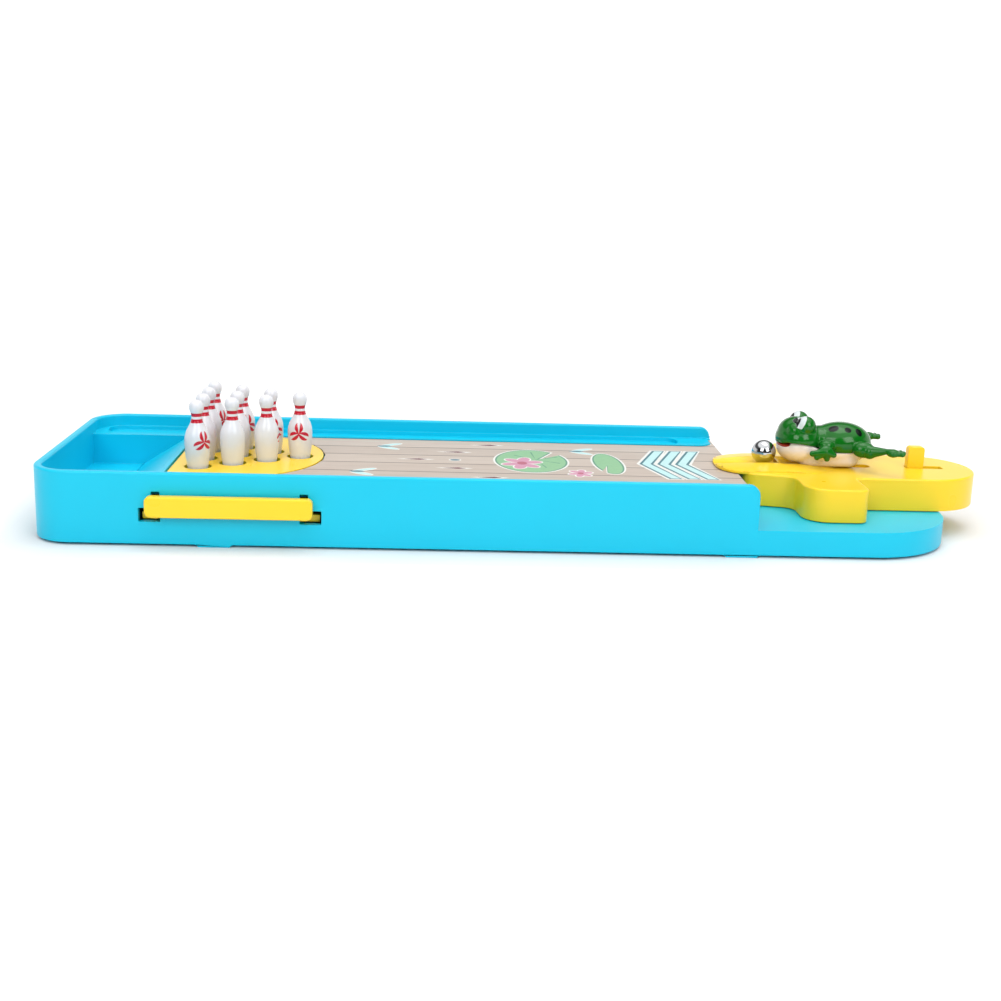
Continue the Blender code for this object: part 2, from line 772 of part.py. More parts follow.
def make_lift_frame():
    """Two beams across the tray and two rails between them with sockets for the plate's legs."""
    half = BEAM_WIDTH / 2
    inner_reach = HALF_WIDTH - LAP_INSET - LAP_LENGTH
    outer_reach = inner_reach + LAP_LENGTH
    lap_bottom = BEAM_BOTTOM + BEAM_HEIGHT / 2 + CLEARANCE / 2
    frame = None
    for end in (-1, 1):
        x = SETTER_X + end * BEAM_SPACING / 2
        beam = block("beam", (x - half, -outer_reach, BEAM_BOTTOM), (x + half, outer_reach, BEAM_TOP))
        for side in (-1, 1):
            near, far = sorted((side * inner_reach, side * (outer_reach + OVERRUN)))
            low = (x - BEAM_WIDTH, near, BEAM_BOTTOM - OVERRUN)
            cut(beam, block("lap", low, (x + BEAM_WIDTH, far, lap_bottom)))
        frame = beam if frame is None else join(frame, beam)
    for side in (-1, 1):
        y = side * LEG_SPREAD / 2
        low = (SETTER_X - BEAM_SPACING / 2, y - RAIL_WIDTH / 2, BEAM_BOTTOM)
        high = (SETTER_X + BEAM_SPACING / 2, y + RAIL_WIDTH / 2, BEAM_TOP)
        join(frame, block("rail", low, high))
    for x, y in leg_places():
        socket = LEG_RADIUS + CLEARANCE
        low = BEAM_TOP - BEAM_HEIGHT / 2 - CLEARANCE
        cut(frame, drum("leg_socket", x, y, low, BEAM_TOP + OVERRUN, socket))
    frame.name = "lift_frame"
    return place(frame, game, yellow)


def make_handle(name, side):
    """A side bar with two arms, each with a hook behind the wall and a lap under the lift frame's beam."""
    bar_low = FOOT_HEIGHT + HANDLE_LEVEL
    half_length = HANDLE_LENGTH / 2
    bar_profile = rounded([
        (SETTER_X - half_length, bar_low, HANDLE_CORNER),
        (SETTER_X + half_length, bar_low, HANDLE_CORNER),
        (SETTER_X + half_length, bar_low + HANDLE_HEIGHT, HANDLE_CORNER),
        (SETTER_X - half_length, bar_low + HANDLE_HEIGHT, HANDLE_CORNER),
    ])
    back = side * (HALF_WIDTH + HANDLE_STANDOFF)
    face = back + side * HANDLE_THICKNESS
    handle = side_profile(name, bar_profile, *sorted((back, face)))
    reach = HALF_WIDTH - LAP_INSET - LAP_LENGTH + CLEARANCE
    lap_top = BEAM_BOTTOM + BEAM_HEIGHT / 2 - CLEARANCE / 2
    hook_y = HALF_WIDTH - TRAY_WALL - CLEARANCE * 2
    arm_end = HALF_WIDTH - LAP_INSET + CLEARANCE
    half = BEAM_WIDTH / 2
    for end in (-1, 1):
        x = SETTER_X + end * BEAM_SPACING / 2
        near, far = sorted((side * arm_end, back + side * HANDLE_THICKNESS / 2))
        join(handle, block("arm", (x - half, near, BEAM_TOP - ARM_HEIGHT), (x + half, far, BEAM_TOP)))
        near, far = sorted((side * arm_end, side * (arm_end + ARM_DROP_WIDTH)))
        join(handle, block("arm_drop", (x - half, near, BEAM_BOTTOM), (x + half, far, BEAM_TOP)))
        near, far = sorted((side * reach, side * (arm_end + OVERRUN)))
        join(handle, block("arm_lap", (x - half, near, BEAM_BOTTOM), (x + half, far, lap_top)))
        near, far = sorted((side * hook_y, side * (hook_y - HOOK_THICKNESS)))
        low_x, high_x = sorted((x, x + end * (half + HOOK_LENGTH)))
        hook_low = FOOT_HEIGHT + NOTCH_LEVEL + CLEARANCE
        join(handle, block("hook", (low_x, near, hook_low), (high_x, far, hook_low + HOOK_HEIGHT)))
    return place(handle, game, yellow)


def pin_profile():
    """The pin's outline from its top to its base."""
    top = []
    head_low = PIN_HEIGHT * PIN_HEAD_SHARE
    cap_height = PIN_HEIGHT - head_low
    for step in range(4):
        angle = math.pi / 2 * (1 - step / 3)
        top.append((PIN_HEAD_RADIUS * math.cos(angle), head_low + cap_height * math.sin(angle)))
    middle_radius = (PIN_NECK_RADIUS + PIN_BELLY_RADIUS) / 2
    low_radius = (PIN_BASE_RADIUS + PIN_BELLY_RADIUS) / 2
    return top + [
        (PIN_NECK_RADIUS, PIN_HEIGHT * PIN_NECK_SHARE),
        (middle_radius, PIN_HEIGHT * PIN_SHOULDER_SHARE),
        (PIN_BELLY_RADIUS, PIN_HEIGHT * PIN_BELLY_SHARE),
        (low_radius, PIN_HEIGHT * PIN_LOW_SHARE),
        (PIN_BASE_RADIUS, 0),
        (0, 0),
    ]


def make_pins():
    first = None
    for index, (x, y) in enumerate(pin_places()):
        name = f"pin_{index + 1:02d}"
        if first is None:
            pin = turned(name, pin_profile(), PIN_SIDES)
            first = pin
        else:
            pin = mesh_object(name, first.data)
            screw = pin.modifiers.new("Turn", "SCREW")
            screw.steps = PIN_SIDES
            screw.render_steps = PIN_SIDES
            screw.use_merge_vertices = True
            screw.merge_threshold = WELD_DISTANCE
        pin.location = (x, y, PIN_BED + CLEARANCE)
        place(pin, game, white)


def on_launcher(distance):
    return PIVOT_X + distance


def launcher_corners():
    """The launcher's plan, anticlockwise: neck, two side lobes and the start of the tail."""
    neck_front = NECK_FRONT_WIDTH / 2
    neck_rear = NECK_REAR_WIDTH / 2
    lobe = LOBE_SPREAD / 2
    return mirrored([
        (on_launcher(-NECK_REACH), neck_front, NECK_CORNER),
        (on_launcher(-LOBE_FRONT), neck_rear, LOBE_FILLET),
        (on_launcher(-LOBE_FRONT), lobe, LOBE_FRONT_CORNER),
        (on_launcher(LOBE_REAR), lobe, LOBE_REAR_CORNER),
        (on_launcher(LOBE_REAR), TAIL_RADIUS, TAIL_FILLET),
        (on_launcher(TAIL_REACH), TAIL_RADIUS, TAIL_RADIUS - CLEARANCE),
    ])


def striker_slot(name, place_along, length, width):
    """A slot through the launcher's roof, long enough for the striker's travel."""
    start = on_launcher(place_along - length / 2) - CLEARANCE
    end = on_launcher(place_along + length / 2) + STRIKER_TRAVEL + CLEARANCE
    half = width / 2 + SLOT_SIDE_GAP
    corner = half - WELD_DISTANCE if width == STUD_RADIUS * 2 else CLEARANCE
    outline = rounded([
        (start, -half, corner),
        (end, -half, corner),
        (end, half, corner),
        (start, half, corner),
    ])
    return slab(name, outline, LAUNCHER_CEILING - OVERRUN / 2, LAUNCHER_ROOF + DOME_HEIGHT)


def boss_places():
    """The launcher cover's screw places: two in the lobes and two in the tail."""
    lobe_x = on_launcher((LOBE_REAR - LOBE_FRONT) / 2)
    tail_x = on_launcher(TAIL_BOSS_PLACE)
    lobes = [(lobe_x, side * LOBE_BOSS_SPREAD / 2) for side in (-1, 1)]
    tail = [(tail_x, side * TAIL_BOSS_SPREAD / 2) for side in (-1, 1)]
    return lobes + tail


def striker_guides():
    """Two rails under the roof that keep the slider straight."""
    near = SLIDER_WIDTH / 2 + CLEARANCE
    low = LAUNCHER_CEILING - GUIDE_DEPTH
    high = LAUNCHER_CEILING + LAUNCHER_WALL / 2
    start = on_launcher(SLIDER_FRONT)
    end = start + SLIDER_LENGTH + STRIKER_TRAVEL
    guides = []
    for side in (-1, 1):
        low_y, high_y = sorted((side * near, side * (near + GUIDE_THICKNESS)))
        guides.append(block("guide", (start, low_y, low), (end, high_y, high)))
    return guides


def make_tip():
    """The flat round tip over the lane's end, which swells into a low dome on the launcher."""
    half = TIP_WIDTH / 2
    start = on_launcher(-TIP_REACH)
    end = on_launcher(DOME_LENGTH / 2 - DOME_PLACE)
    tip = slab("tip", rounded([
        (start, -half, TIP_CORNER),
        (end, -half, TIP_CORNER),
        (end, half, TIP_CORNER),
        (start, half, TIP_CORNER),
    ]), SHEET_TOP + TIP_LEVEL, RIM_TOP)
    dome_top = FOOT_HEIGHT + DOME_TOP
    middle = (on_launcher(-DOME_PLACE), 0, dome_top - DOME_HEIGHT)
    size = (DOME_LENGTH, DOME_WIDTH, DOME_HEIGHT * 2)
    keep_within(tip, ellipsoid("dome", middle, size, DOME_SIDES, DOME_RINGS))
    trough_z = LAUNCHER_ROOF - TROUGH_DEPTH + TROUGH_RADIUS
    trough = arc((0, trough_z), TROUGH_RADIUS, 0, math.pi * 2)[:-1]
    cut(tip, end_profile("frog_trough", trough, on_launcher(-GROOVE_END), end + OVERRUN))
    return tip


def make_launcher_housing():
    housing = slab("launcher_housing", rounded(launcher_corners()), LAUNCHER_BOTTOM, LAUNCHER_ROOF)
    inner = rounded(inset(launcher_corners(), LAUNCHER_WALL))
    cut(housing, slab("launcher_hollow", inner, LAUNCHER_BOTTOM - OVERRUN, LAUNCHER_CEILING))
    join(housing, make_tip())
    groove_z = FOOT_HEIGHT + GROOVE_LEVEL + GROOVE_RADIUS
    groove = arc((0, groove_z), GROOVE_RADIUS, 0, math.pi * 2)[:-1]
    groove_start = on_launcher(-TIP_REACH) - OVERRUN
    cut(housing, end_profile("ball_groove", groove, groove_start, on_launcher(-GROOVE_END) + OVERRUN / 2))
    post_low = PLATFORM_TOP - FLOOR_THICKNESS
    post_high = LAUNCHER_CEILING + LAUNCHER_WALL / 2
    join(housing, drum("post", PIVOT_X, 0, post_low, post_high, PIVOT_RADIUS, ROUND_SIDES))
    bore = PIVOT_SCREW_RADIUS + CLEARANCE
    bore_top = post_low + PIVOT_SCREW_LENGTH
    cut(housing, drum("post_bore", PIVOT_X, 0, post_low - OVERRUN, bore_top, bore))
    for x, y in boss_places():
        join(housing, drum("boss", x, y, COVER_TOP + CLEARANCE, post_high, BOSS_RADIUS))
        pilot = COVER_SCREW_RADIUS + CLEARANCE
        pilot_top = LAUNCHER_BOTTOM + SCREW_HEAD_THICKNESS + COVER_SCREW_LENGTH + CLEARANCE
        cut(housing, drum("pilot", x, y, LAUNCHER_BOTTOM, pilot_top, pilot))
    join(housing, *striker_guides())
    cut(housing, striker_slot("stud_slot", STUD_PLACE, STUD_RADIUS * 2, STUD_RADIUS * 2))
    cut(housing, striker_slot("tab_slot", TAB_PLACE, TAB_LENGTH, TAB_THICKNESS))
    return place(housing, game, yellow)


def make_launcher_cover():
    """The plate that closes the launcher from below, with two rests for the slider."""
    outline = rounded(inset(launcher_corners(), LAUNCHER_WALL + CLEARANCE))
    cover = slab("launcher_cover", outline, LAUNCHER_BOTTOM, COVER_TOP)
    rest_start = on_launcher(SLIDER_FRONT)
    rest_end = rest_start + SLIDER_LENGTH - SLIDER_PLATE_THICKNESS - CLEARANCE
    for side in (-1, 1):
        middle = side * REST_SPREAD / 2
        low = (rest_start, middle - GUIDE_THICKNESS / 2, COVER_TOP - COVER_THICKNESS / 2)
        high = (rest_end, middle + GUIDE_THICKNESS / 2, SLIDER_BOTTOM - CLEARANCE)
        join(cover, block("rest", low, high))
    low = LAUNCHER_BOTTOM - OVERRUN
    high = COVER_TOP + OVERRUN
    cut(cover, drum("post_hole", PIVOT_X, 0, low, high, PIVOT_RADIUS + CLEARANCE, ROUND_SIDES))
    for x, y in boss_places():
        sink_top = LAUNCHER_BOTTOM + SCREW_HEAD_THICKNESS + CLEARANCE
        cut(cover, drum("screw_sink", x, y, low, sink_top, SCREW_HEAD_RADIUS + CLEARANCE))
        cut(cover, drum("screw_hole", x, y, low, high, COVER_SCREW_RADIUS + CLEARANCE))
    return place(cover, game, yellow)


def make_screw(name, location, head_radius, head_thickness, radius, length):
    """A screw that points up, with its origin at the middle of its head's lower face."""
    edge = head_thickness / 4
    profile = [
        (0, head_thickness + length),
        (radius / 2, head_thickness + length),
        (radius, head_thickness + length - radius / 2),
        (radius, head_thickness),
        (head_radius, head_thickness),
        (head_radius, edge),
        (head_radius - edge, 0),
        (0, 0),
    ]
    screw = turned(name, profile, SMALL_SIDES)
    screw.location = location
    return place(screw, game, zinc)


def make_cover_screws():
    screws = []
    for index, (x, y) in enumerate(boss_places()):
        name = f"cover_screw_{index + 1}"
        sizes = (SCREW_HEAD_RADIUS, SCREW_HEAD_THICKNESS, COVER_SCREW_RADIUS, COVER_SCREW_LENGTH)
        screws.append(make_screw(name, (x, y, LAUNCHER_BOTTOM), *sizes))
    return screws


def make_pivot_fasteners():
    """The washer under the platform and the screw that holds it to the post."""
    washer_top = PLATFORM_TOP - FLOOR_THICKNESS - CLEARANCE
    washer_low = washer_top - WASHER_THICKNESS
    washer = drum("pivot_washer", PIVOT_X, 0, washer_low, washer_top, WASHER_RADIUS, ROUND_SIDES)
    hole = PIVOT_SCREW_RADIUS + CLEARANCE
    cut(washer, drum("washer_hole", PIVOT_X, 0, washer_low - OVERRUN, washer_top + OVERRUN, hole))
    place(washer, game, zinc)
    head_low = washer_low - CLEARANCE - PIVOT_HEAD_THICKNESS
    sizes = (PIVOT_HEAD_RADIUS, PIVOT_HEAD_THICKNESS, PIVOT_SCREW_RADIUS)
    screw = make_screw("pivot_screw", (PIVOT_X, 0, head_low), *sizes, PIVOT_SCREW_LENGTH)
    return washer, screw


def make_striker_slider():
    """The bar under the roof, its upright tab, and the plate and nub that take the spring."""
    front = on_launcher(SLIDER_FRONT)
    rear = front + SLIDER_LENGTH
    half = SLIDER_WIDTH / 2
    slider = block("striker_slider", (front, -half, SLIDER_BOTTOM), (rear, half, SLIDER_TOP))
    plate_low = SLIDER_BOTTOM - SLIDER_PLATE_DEPTH
    plate_front = rear - SLIDER_PLATE_THICKNESS
    join(slider, block("spring_plate", (plate_front, -half, plate_low), (rear, half, SLIDER_TOP)))
    spring_z = SLIDER_TOP - SPRING_RADIUS
    nub_start = (plate_front, 0, spring_z)
    join(slider, limb("nub", nub_start, (rear + NUB_LENGTH, 0, spring_z), NUB_RADIUS, NUB_RADIUS))
    tab_middle = on_launcher(TAB_PLACE)
    tab_top = LAUNCHER_ROOF + TAB_HEIGHT
    tab = side_profile("tab", rounded([
        (tab_middle - TAB_LENGTH / 2, SLIDER_BOTTOM + SLIDER_THICKNESS / 2, 0),
        (tab_middle + TAB_LENGTH / 2, SLIDER_BOTTOM + SLIDER_THICKNESS / 2, 0),
        (tab_middle + TAB_LENGTH / 2, tab_top, TAB_CORNER),
        (tab_middle - TAB_LENGTH / 2, tab_top, TAB_CORNER),
    ]), -TAB_THICKNESS / 2, TAB_THICKNESS / 2)
    join(slider, tab)
    hole = COVER_SCREW_RADIUS + CLEARANCE
    x = on_launcher(STUD_PLACE)
    cut(slider, drum("stud_screw_hole", x, 0, plate_low, SLIDER_TOP + OVERRUN, hole))
    return place(slider, game, yellow)


def make_striker_spring():
    """A coil between the slider's end and the launcher's rear wall."""
    start = on_launcher(SLIDER_FRONT + SLIDER_LENGTH) + CLEARANCE + SPRING_WIRE_RADIUS
    end = on_launcher(TAIL_REACH) - LAUNCHER_WALL - CLEARANCE * 2 - SPRING_WIRE_RADIUS
    radius = SPRING_RADIUS - SPRING_WIRE_RADIUS
    count = SPRING_TURNS * TURN_POINTS
    curve = bpy.data.curves.new("striker_spring", "CURVE")
    curve.dimensions = "3D"
    curve.bevel_depth = SPRING_WIRE_RADIUS
    curve.bevel_resolution = 2
    curve.use_fill_caps = True
    spline = curve.splines.new("POLY")
    spline.points.add(count)
    for index, point in enumerate(spline.points):
        angle = 2 * math.pi * index / TURN_POINTS
        along = (end - start) * index / count
        point.co = (along, radius * math.cos(angle), radius * math.sin(angle), 1)
    spring = bpy.data.objects.new("striker_spring", curve)
    cutters.objects.link(spring)
    spring.location = (start, 0, SLIDER_TOP - SPRING_RADIUS)
    return place(curve_to_mesh(spring), game, zinc)


def above_roof(height):
    return LAUNCHER_ROOF + height


def lip_profile(drop):
    """The side view of what lies under the frog's lip line, lowered by drop."""
    start = BELLY_PLACE - BELLY_LENGTH / 2
    points = [
        (on_launcher(start + BELLY_LENGTH * along), above_roof(BELLY_HEIGHT * up) - drop)
        for along, up in LIP_SHARES
    ]
    low = LAUNCHER_BOTTOM
    first = points[0][0] - OVERRUN
    last = points[-1][0] + OVERRUN
    return [(first, low), (last, low), (last, points[-1][1])] + points[::-1] + [(first, points[0][1])]


def belly_hull(name, growth):
    """The frog's boat-shaped underside with its jaw, grown by growth."""
    middle = (on_launcher(HULL_PLACE), 0, above_roof(CLEARANCE + HULL_HEIGHT / 2))
    size = (HULL_LENGTH + growth * 2, HULL_WIDTH + growth * 2, HULL_HEIGHT + growth * 2)
    hull = ellipsoid(name, middle, size, BODY_SIDES, BODY_RINGS)
    jaw_middle = (on_launcher(JAW_PLACE), 0, above_roof(JAW_LEVEL))
    jaw_size = (JAW_LENGTH + growth * 2, JAW_WIDTH + growth * 2, JAW_HEIGHT + growth * 2)
    return join(hull, ellipsoid("jaw", jaw_middle, jaw_size, BODY_SIDES, BODY_RINGS))


def make_frog_belly():
    reach = TORSO_WIDTH
    belly = belly_hull("frog_belly", 0)
    keep_within(belly, side_profile("lip_below", lip_profile(CLEARANCE), -reach, reach))
    x = on_launcher(STUD_PLACE)
    stud_top = above_roof(HULL_HEIGHT / 3)
    join(belly, drum("stud", x, 0, SLIDER_TOP + CLEARANCE, stud_top, STUD_RADIUS))
    pilot = COVER_SCREW_RADIUS + CLEARANCE
    pilot_top = SLIDER_BOTTOM + COVER_SCREW_LENGTH
    cut(belly, drum("stud_pilot", x, 0, SLIDER_TOP, pilot_top, pilot))
    return place(belly, game, cream)


def digits(name, root, length, directions):
    """Fingers or toes with round tips, spread from root in shares of length."""
    pieces = []
    for direction in directions:
        reach = Vector(direction) * length
        start = root + reach * FINGER_ROOT_SHARE
        end_radius = FINGER_RADIUS * FINGER_END_SHARE
        pieces.append(limb(name, start, root + reach, FINGER_RADIUS, end_radius, TIP_SIDES))
        pieces.append(ellipsoid(name + "_tip", root + reach, (FINGERTIP_WIDTH,) * 3, TIP_SIDES, TIP_RINGS))
    return pieces


def frog_arm(side):
    """One arm, with a palm and four fingers that spread forwards and down."""
    shoulder = (on_launcher(SHOULDER_PLACE), side * SHOULDER_SPREAD / 2, above_roof(SHOULDER_LEVEL))
    palm = Vector((on_launcher(HAND_PLACE), side * HAND_SPREAD / 2, above_roof(HAND_LEVEL)))
    palm_length = HAND_LENGTH * PALM_SHARE
    directions = [(along, 0, up) for along, up in FINGER_SHARES]
    return [
        ellipsoid("shoulder", shoulder, (SHOULDER_LENGTH, SHOULDER_WIDTH, SHOULDER_HEIGHT)),
        limb("arm", shoulder, palm, ARM_RADIUS, ARM_RADIUS * WRIST_SHARE, TIP_SIDES),
        ellipsoid("palm", palm, (palm_length, PALM_THICKNESS, palm_length)),
        *digits("finger", palm, HAND_LENGTH, directions),
    ]


def frog_leg(side):
    """One leg stretched out behind: thigh, calf, and a foot with three toes."""
    thigh = (on_launcher(THIGH_PLACE), side * THIGH_SPREAD / 2, above_roof(THIGH_LEVEL))
    knee = (on_launcher(KNEE_PLACE), side * (THIGH_SPREAD + THIGH_WIDTH / 2) / 2, above_roof(THIGH_LEVEL))
    ankle = (on_launcher(ANKLE_PLACE), side * ANKLE_SPREAD / 2, above_roof(FOOT_LEVEL))
    foot = Vector((on_launcher(FOOT_PLACE), side * FOOT_SPREAD / 2, above_roof(FOOT_LEVEL)))
    ankle_radius = ARM_RADIUS * WRIST_SHARE
    foot_size = (FROG_FOOT_LENGTH * PALM_SHARE, FROG_FOOT_WIDTH, FROG_FOOT_HEIGHT)
    directions = [(along, side * across, 0) for along, across in TOE_SHARES]
    return [
        ellipsoid("thigh", thigh, (THIGH_LENGTH, THIGH_WIDTH, THIGH_HEIGHT)),
        limb("calf", knee, ankle, CALF_RADIUS, ankle_radius, TIP_SIDES),
        limb("ankle", ankle, foot, ankle_radius, ARM_RADIUS, TIP_SIDES),
        ellipsoid("foot", foot, foot_size),
        *digits("toe", foot, FROG_FOOT_LENGTH, directions),
    ]


def make_frog_body():
    torso_middle = (on_launcher(TORSO_PLACE), 0, above_roof(TORSO_LEVEL))
    torso_size = (TORSO_LENGTH, TORSO_WIDTH, TORSO_HEIGHT)
    body = ellipsoid("frog_body", torso_middle, torso_size, BODY_SIDES, BODY_RINGS)
    head_middle = (on_launcher(HEAD_PLACE), 0, above_roof(HEAD_LEVEL))
    head_size = (HEAD_LENGTH, HEAD_WIDTH, HEAD_HEIGHT)
    join(body, ellipsoid("head", head_middle, head_size, BODY_SIDES, BODY_RINGS))
    for side in (-1, 1):
        middle = (on_launcher(EYE_PLACE), side * EYE_SPREAD / 2, above_roof(EYE_LEVEL))
        join(body, ellipsoid("eye", middle, (EYE_RADIUS * 2,) * 3))
    reach = TORSO_WIDTH
    cut(body, side_profile("lip_cut", lip_profile(0), -reach, reach))
    for side in (-1, 1):
        combine(body, "UNION", frog_arm(side) + frog_leg(side), "MANIFOLD")
    room = belly_hull("belly_room", CLEARANCE)
    keep_within(room, side_profile("lip_room", lip_profile(-CLEARANCE / 2), -reach, reach))
    combine(body, "DIFFERENCE", [room], "MANIFOLD")
    return place(body, game, green)


def make_frog_screw():
    low = SLIDER_BOTTOM - CLEARANCE - SCREW_HEAD_THICKNESS
    sizes = (SCREW_HEAD_RADIUS, SCREW_HEAD_THICKNESS, COVER_SCREW_RADIUS, COVER_SCREW_LENGTH - CLEARANCE * 2)
    return make_screw("frog_screw", (on_launcher(STUD_PLACE), 0, low), *sizes)


def make_ball():
    shape = bmesh.new()
    bmesh.ops.create_uvsphere(shape, u_segments=BODY_SIDES, v_segments=BODY_RINGS, radius=BALL_RADIUS)
    ball = solid("steel_ball", shape)
    ball.location = (on_launcher(-BALL_PLACE), 0, FOOT_HEIGHT + GROOVE_LEVEL + CLEARANCE + BALL_RADIUS)
    return place(ball, game, steel)


def hang_on(name, location, pieces):
    """An empty on a joint's axis, which carries the pieces that move there."""
    empty = bpy.data.objects.new(name, None)
    empty.location = location
    game.objects.link(empty)
    for piece in pieces:
        piece.parent = empty
        piece.matrix_parent_inverse = Matrix.Translation(location).inverted()
    return empty


for old in list(bpy.data.objects):
    bpy.data.objects.remove(old)
game = bpy.data.collections.new("bowling_game")
cutters = bpy.data.collections.new("cutters")
bpy.context.scene.collection.children.link(game)
bpy.context.scene.collection.children.link(cutters)

cyan = material("cyan_plastic", (0.0, 0.55, 0.87), 0.3)
yellow = material("yellow_plastic", (0.95, 0.66, 0.02), 0.32)
white = material("white_plastic", (0.86, 0.86, 0.88), 0.2)
printed = material("printed_sheet", (0.62, 0.52, 0.47), 0.4)
green = material("green_paint", (0.02, 0.22, 0.05), 0.15)
cream = material("cream_plastic", (0.85, 0.72, 0.58), 0.3)
steel = material("polished_steel", (0.7, 0.7, 0.7), 0.08, 1.0)
zinc = material("zinc_plated_steel", (0.6, 0.6, 0.58), 0.35, 1.0)

make_base_tray()
make_lane_sheet()
setter = [make_pin_plate(), make_lift_frame(), make_handle("front_handle", -1), make_handle("rear_handle", 1)]
make_pins()
make_ball()
launcher = [make_launcher_housing(), make_launcher_cover(), *make_cover_screws(), *make_pivot_fasteners()]
launcher.append(make_striker_spring())
striker = [make_striker_slider(), make_frog_body(), make_frog_belly(), make_frog_screw()]
hang_on("setter_rise", (SETTER_X, 0, BEAM_BOTTOM), setter)
hang_on("launcher_pivot", (PIVOT_X, 0, LAUNCHER_BOTTOM), launcher)
hang_on("striker_slide", (on_launcher(SLIDER_FRONT), 0, SLIDER_BOTTOM), striker)
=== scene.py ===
import math

import bmesh
import bpy
from mathutils import Matrix, Vector


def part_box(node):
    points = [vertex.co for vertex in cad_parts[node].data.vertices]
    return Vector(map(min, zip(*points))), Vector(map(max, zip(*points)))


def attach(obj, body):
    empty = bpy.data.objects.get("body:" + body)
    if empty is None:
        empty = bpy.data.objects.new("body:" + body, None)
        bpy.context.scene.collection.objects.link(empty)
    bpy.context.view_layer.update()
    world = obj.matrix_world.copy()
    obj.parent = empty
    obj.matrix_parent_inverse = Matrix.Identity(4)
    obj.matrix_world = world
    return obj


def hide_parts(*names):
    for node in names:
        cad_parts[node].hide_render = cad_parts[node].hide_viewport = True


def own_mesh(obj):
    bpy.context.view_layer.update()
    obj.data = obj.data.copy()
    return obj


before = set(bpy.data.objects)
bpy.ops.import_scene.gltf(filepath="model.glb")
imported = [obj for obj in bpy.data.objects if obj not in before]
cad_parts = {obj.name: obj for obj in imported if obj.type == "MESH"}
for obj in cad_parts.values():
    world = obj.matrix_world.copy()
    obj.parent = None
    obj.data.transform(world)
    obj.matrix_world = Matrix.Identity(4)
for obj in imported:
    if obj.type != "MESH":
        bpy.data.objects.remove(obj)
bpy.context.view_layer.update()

# The studio: a pale seamless floor with a faint painted glow, which is no lamp, with one soft light
# overhead and one at each side in front. The camera stands low over the near side of the lane.


def srgb(text):
    """A six-digit sRGB hex colour as linear red, green, blue and alpha."""
    channels = [int(text[i:i + 2], 16) / 255 for i in (1, 3, 5)]
    return (*[c / 12.92 if c <= 0.04045 else ((c + 0.055) / 1.055) ** 2.4 for c in channels], 1.0)


def add_node(tree, kind, inputs=(), **settings):
    """One shader node with its settings. Its inputs are values, outputs, or nodes, which give
    their first output. Mix takes a factor at 0 and colours at 6 and 7, and Map Range a value at 0,
    which it brings from the range 1-2 to the range 3-4."""
    made = tree.nodes.new("ShaderNode" + kind)
    for name, value in settings.items():
        setattr(made, name, value)
    for socket, value in dict(inputs).items():
        if isinstance(value, bpy.types.Node):
            value = value.outputs[0]
        if isinstance(value, bpy.types.NodeSocket):
            tree.links.new(value, made.inputs[socket])
        else:
            made.inputs[socket].default_value = value
    return made


def start_material(name):
    """A new material with its node tree, its Principled shader and its Object coordinates."""
    material = bpy.data.materials.new(name)
    material.use_nodes = True
    tree = material.node_tree
    place = add_node(tree, "TexCoord").outputs["Object"]
    return material, tree, tree.nodes["Principled BSDF"], place


def mottle(tree, shader, place, patch_mm, detail, hues=None, sheen=None):
    """Patches of a real size, between which the colour and the roughness drift."""
    patches = add_node(tree, "TexNoise",
                       {"Vector": place, "Scale": 1000 / patch_mm, "Detail": detail})
    if sheen:
        rough = add_node(tree, "MapRange", {0: patches, 3: sheen[0], 4: sheen[1]})
        tree.links.new(rough.outputs[0], shader.inputs["Roughness"])
    if hues:
        colours = {0: patches, 6: srgb(hues[0]), 7: srgb(hues[1])}
        tint = add_node(tree, "Mix", colours, data_type="RGBA").outputs[2]
        tree.links.new(tint, shader.inputs["Base Color"])
        return tint


def put_material(piece, material):
    piece.data.materials.clear()
    piece.data.materials.append(material)


bpy.ops.mesh.primitive_plane_add(size=6, location=(0, 0, 0))
floor = bpy.context.object
floor.name = "studio_floor"

# Background paper, matt and even in colour, under a painted glow that is no lamp: its emission
# starts outside the game's footprint and grows with the distance, so the paper stays white all
# around and still takes the game's shadow.
floor_paper, tree, shader, place = start_material("white_background_paper")
tone = mottle(tree, shader, place, 1.11, 3.0, ("#e6e6e6", "#eaeaea"), (0.9, 0.9))
footprint = (1 / 0.2, 1 / 0.072, 0)
spread = add_node(tree, "VectorMath", {0: place, 1: footprint}, operation="MULTIPLY")
spread = add_node(tree, "VectorMath", {0: spread}, operation="ABSOLUTE")
spread = add_node(tree, "SeparateXYZ", {0: spread}).outputs
outside = add_node(tree, "Math", {0: spread[0], 1: spread[1]}, operation="MAXIMUM")
outside = add_node(tree, "MapRange", {0: outside, 1: 1.0, 2: 1.1})
away = add_node(tree, "VectorMath", {0: place}, operation="LENGTH").outputs["Value"]
# The painted glow: emission that rises from 0.22 to 0.75 away from the game, and is none inside its
# footprint
glow = add_node(tree, "MapRange", {0: away, 1: 0.45, 2: 1.8, 3: 0.22, 4: 0.75})
glow = add_node(tree, "Math", {0: glow, 1: outside}, operation="MULTIPLY")
tree.links.new(tone, shader.inputs["Emission Color"])
tree.links.new(glow.outputs[0], shader.inputs["Emission Strength"])
shader.inputs["Specular IOR Level"].default_value = 0.1
put_material(floor, floor_paper)

world = bpy.data.worlds.new("studio_air")
world.use_nodes = True
tree = world.node_tree
sky = add_node(tree, "TexCoord").outputs["Generated"]
ways = add_node(tree, "SeparateXYZ", {0: sky}).outputs


def room_side(levels):
    """How bright one side of the room is from the floor up, by (height, level) pairs."""
    side = add_node(tree, "ValToRGB", {0: ways[2]})
    while len(side.color_ramp.elements) < len(levels):
        side.color_ramp.elements.new(0.5)
    for element, (height, level) in zip(side.color_ramp.elements, levels):
        element.position = height
        element.color = (level, level, level, 1.0)
    return side


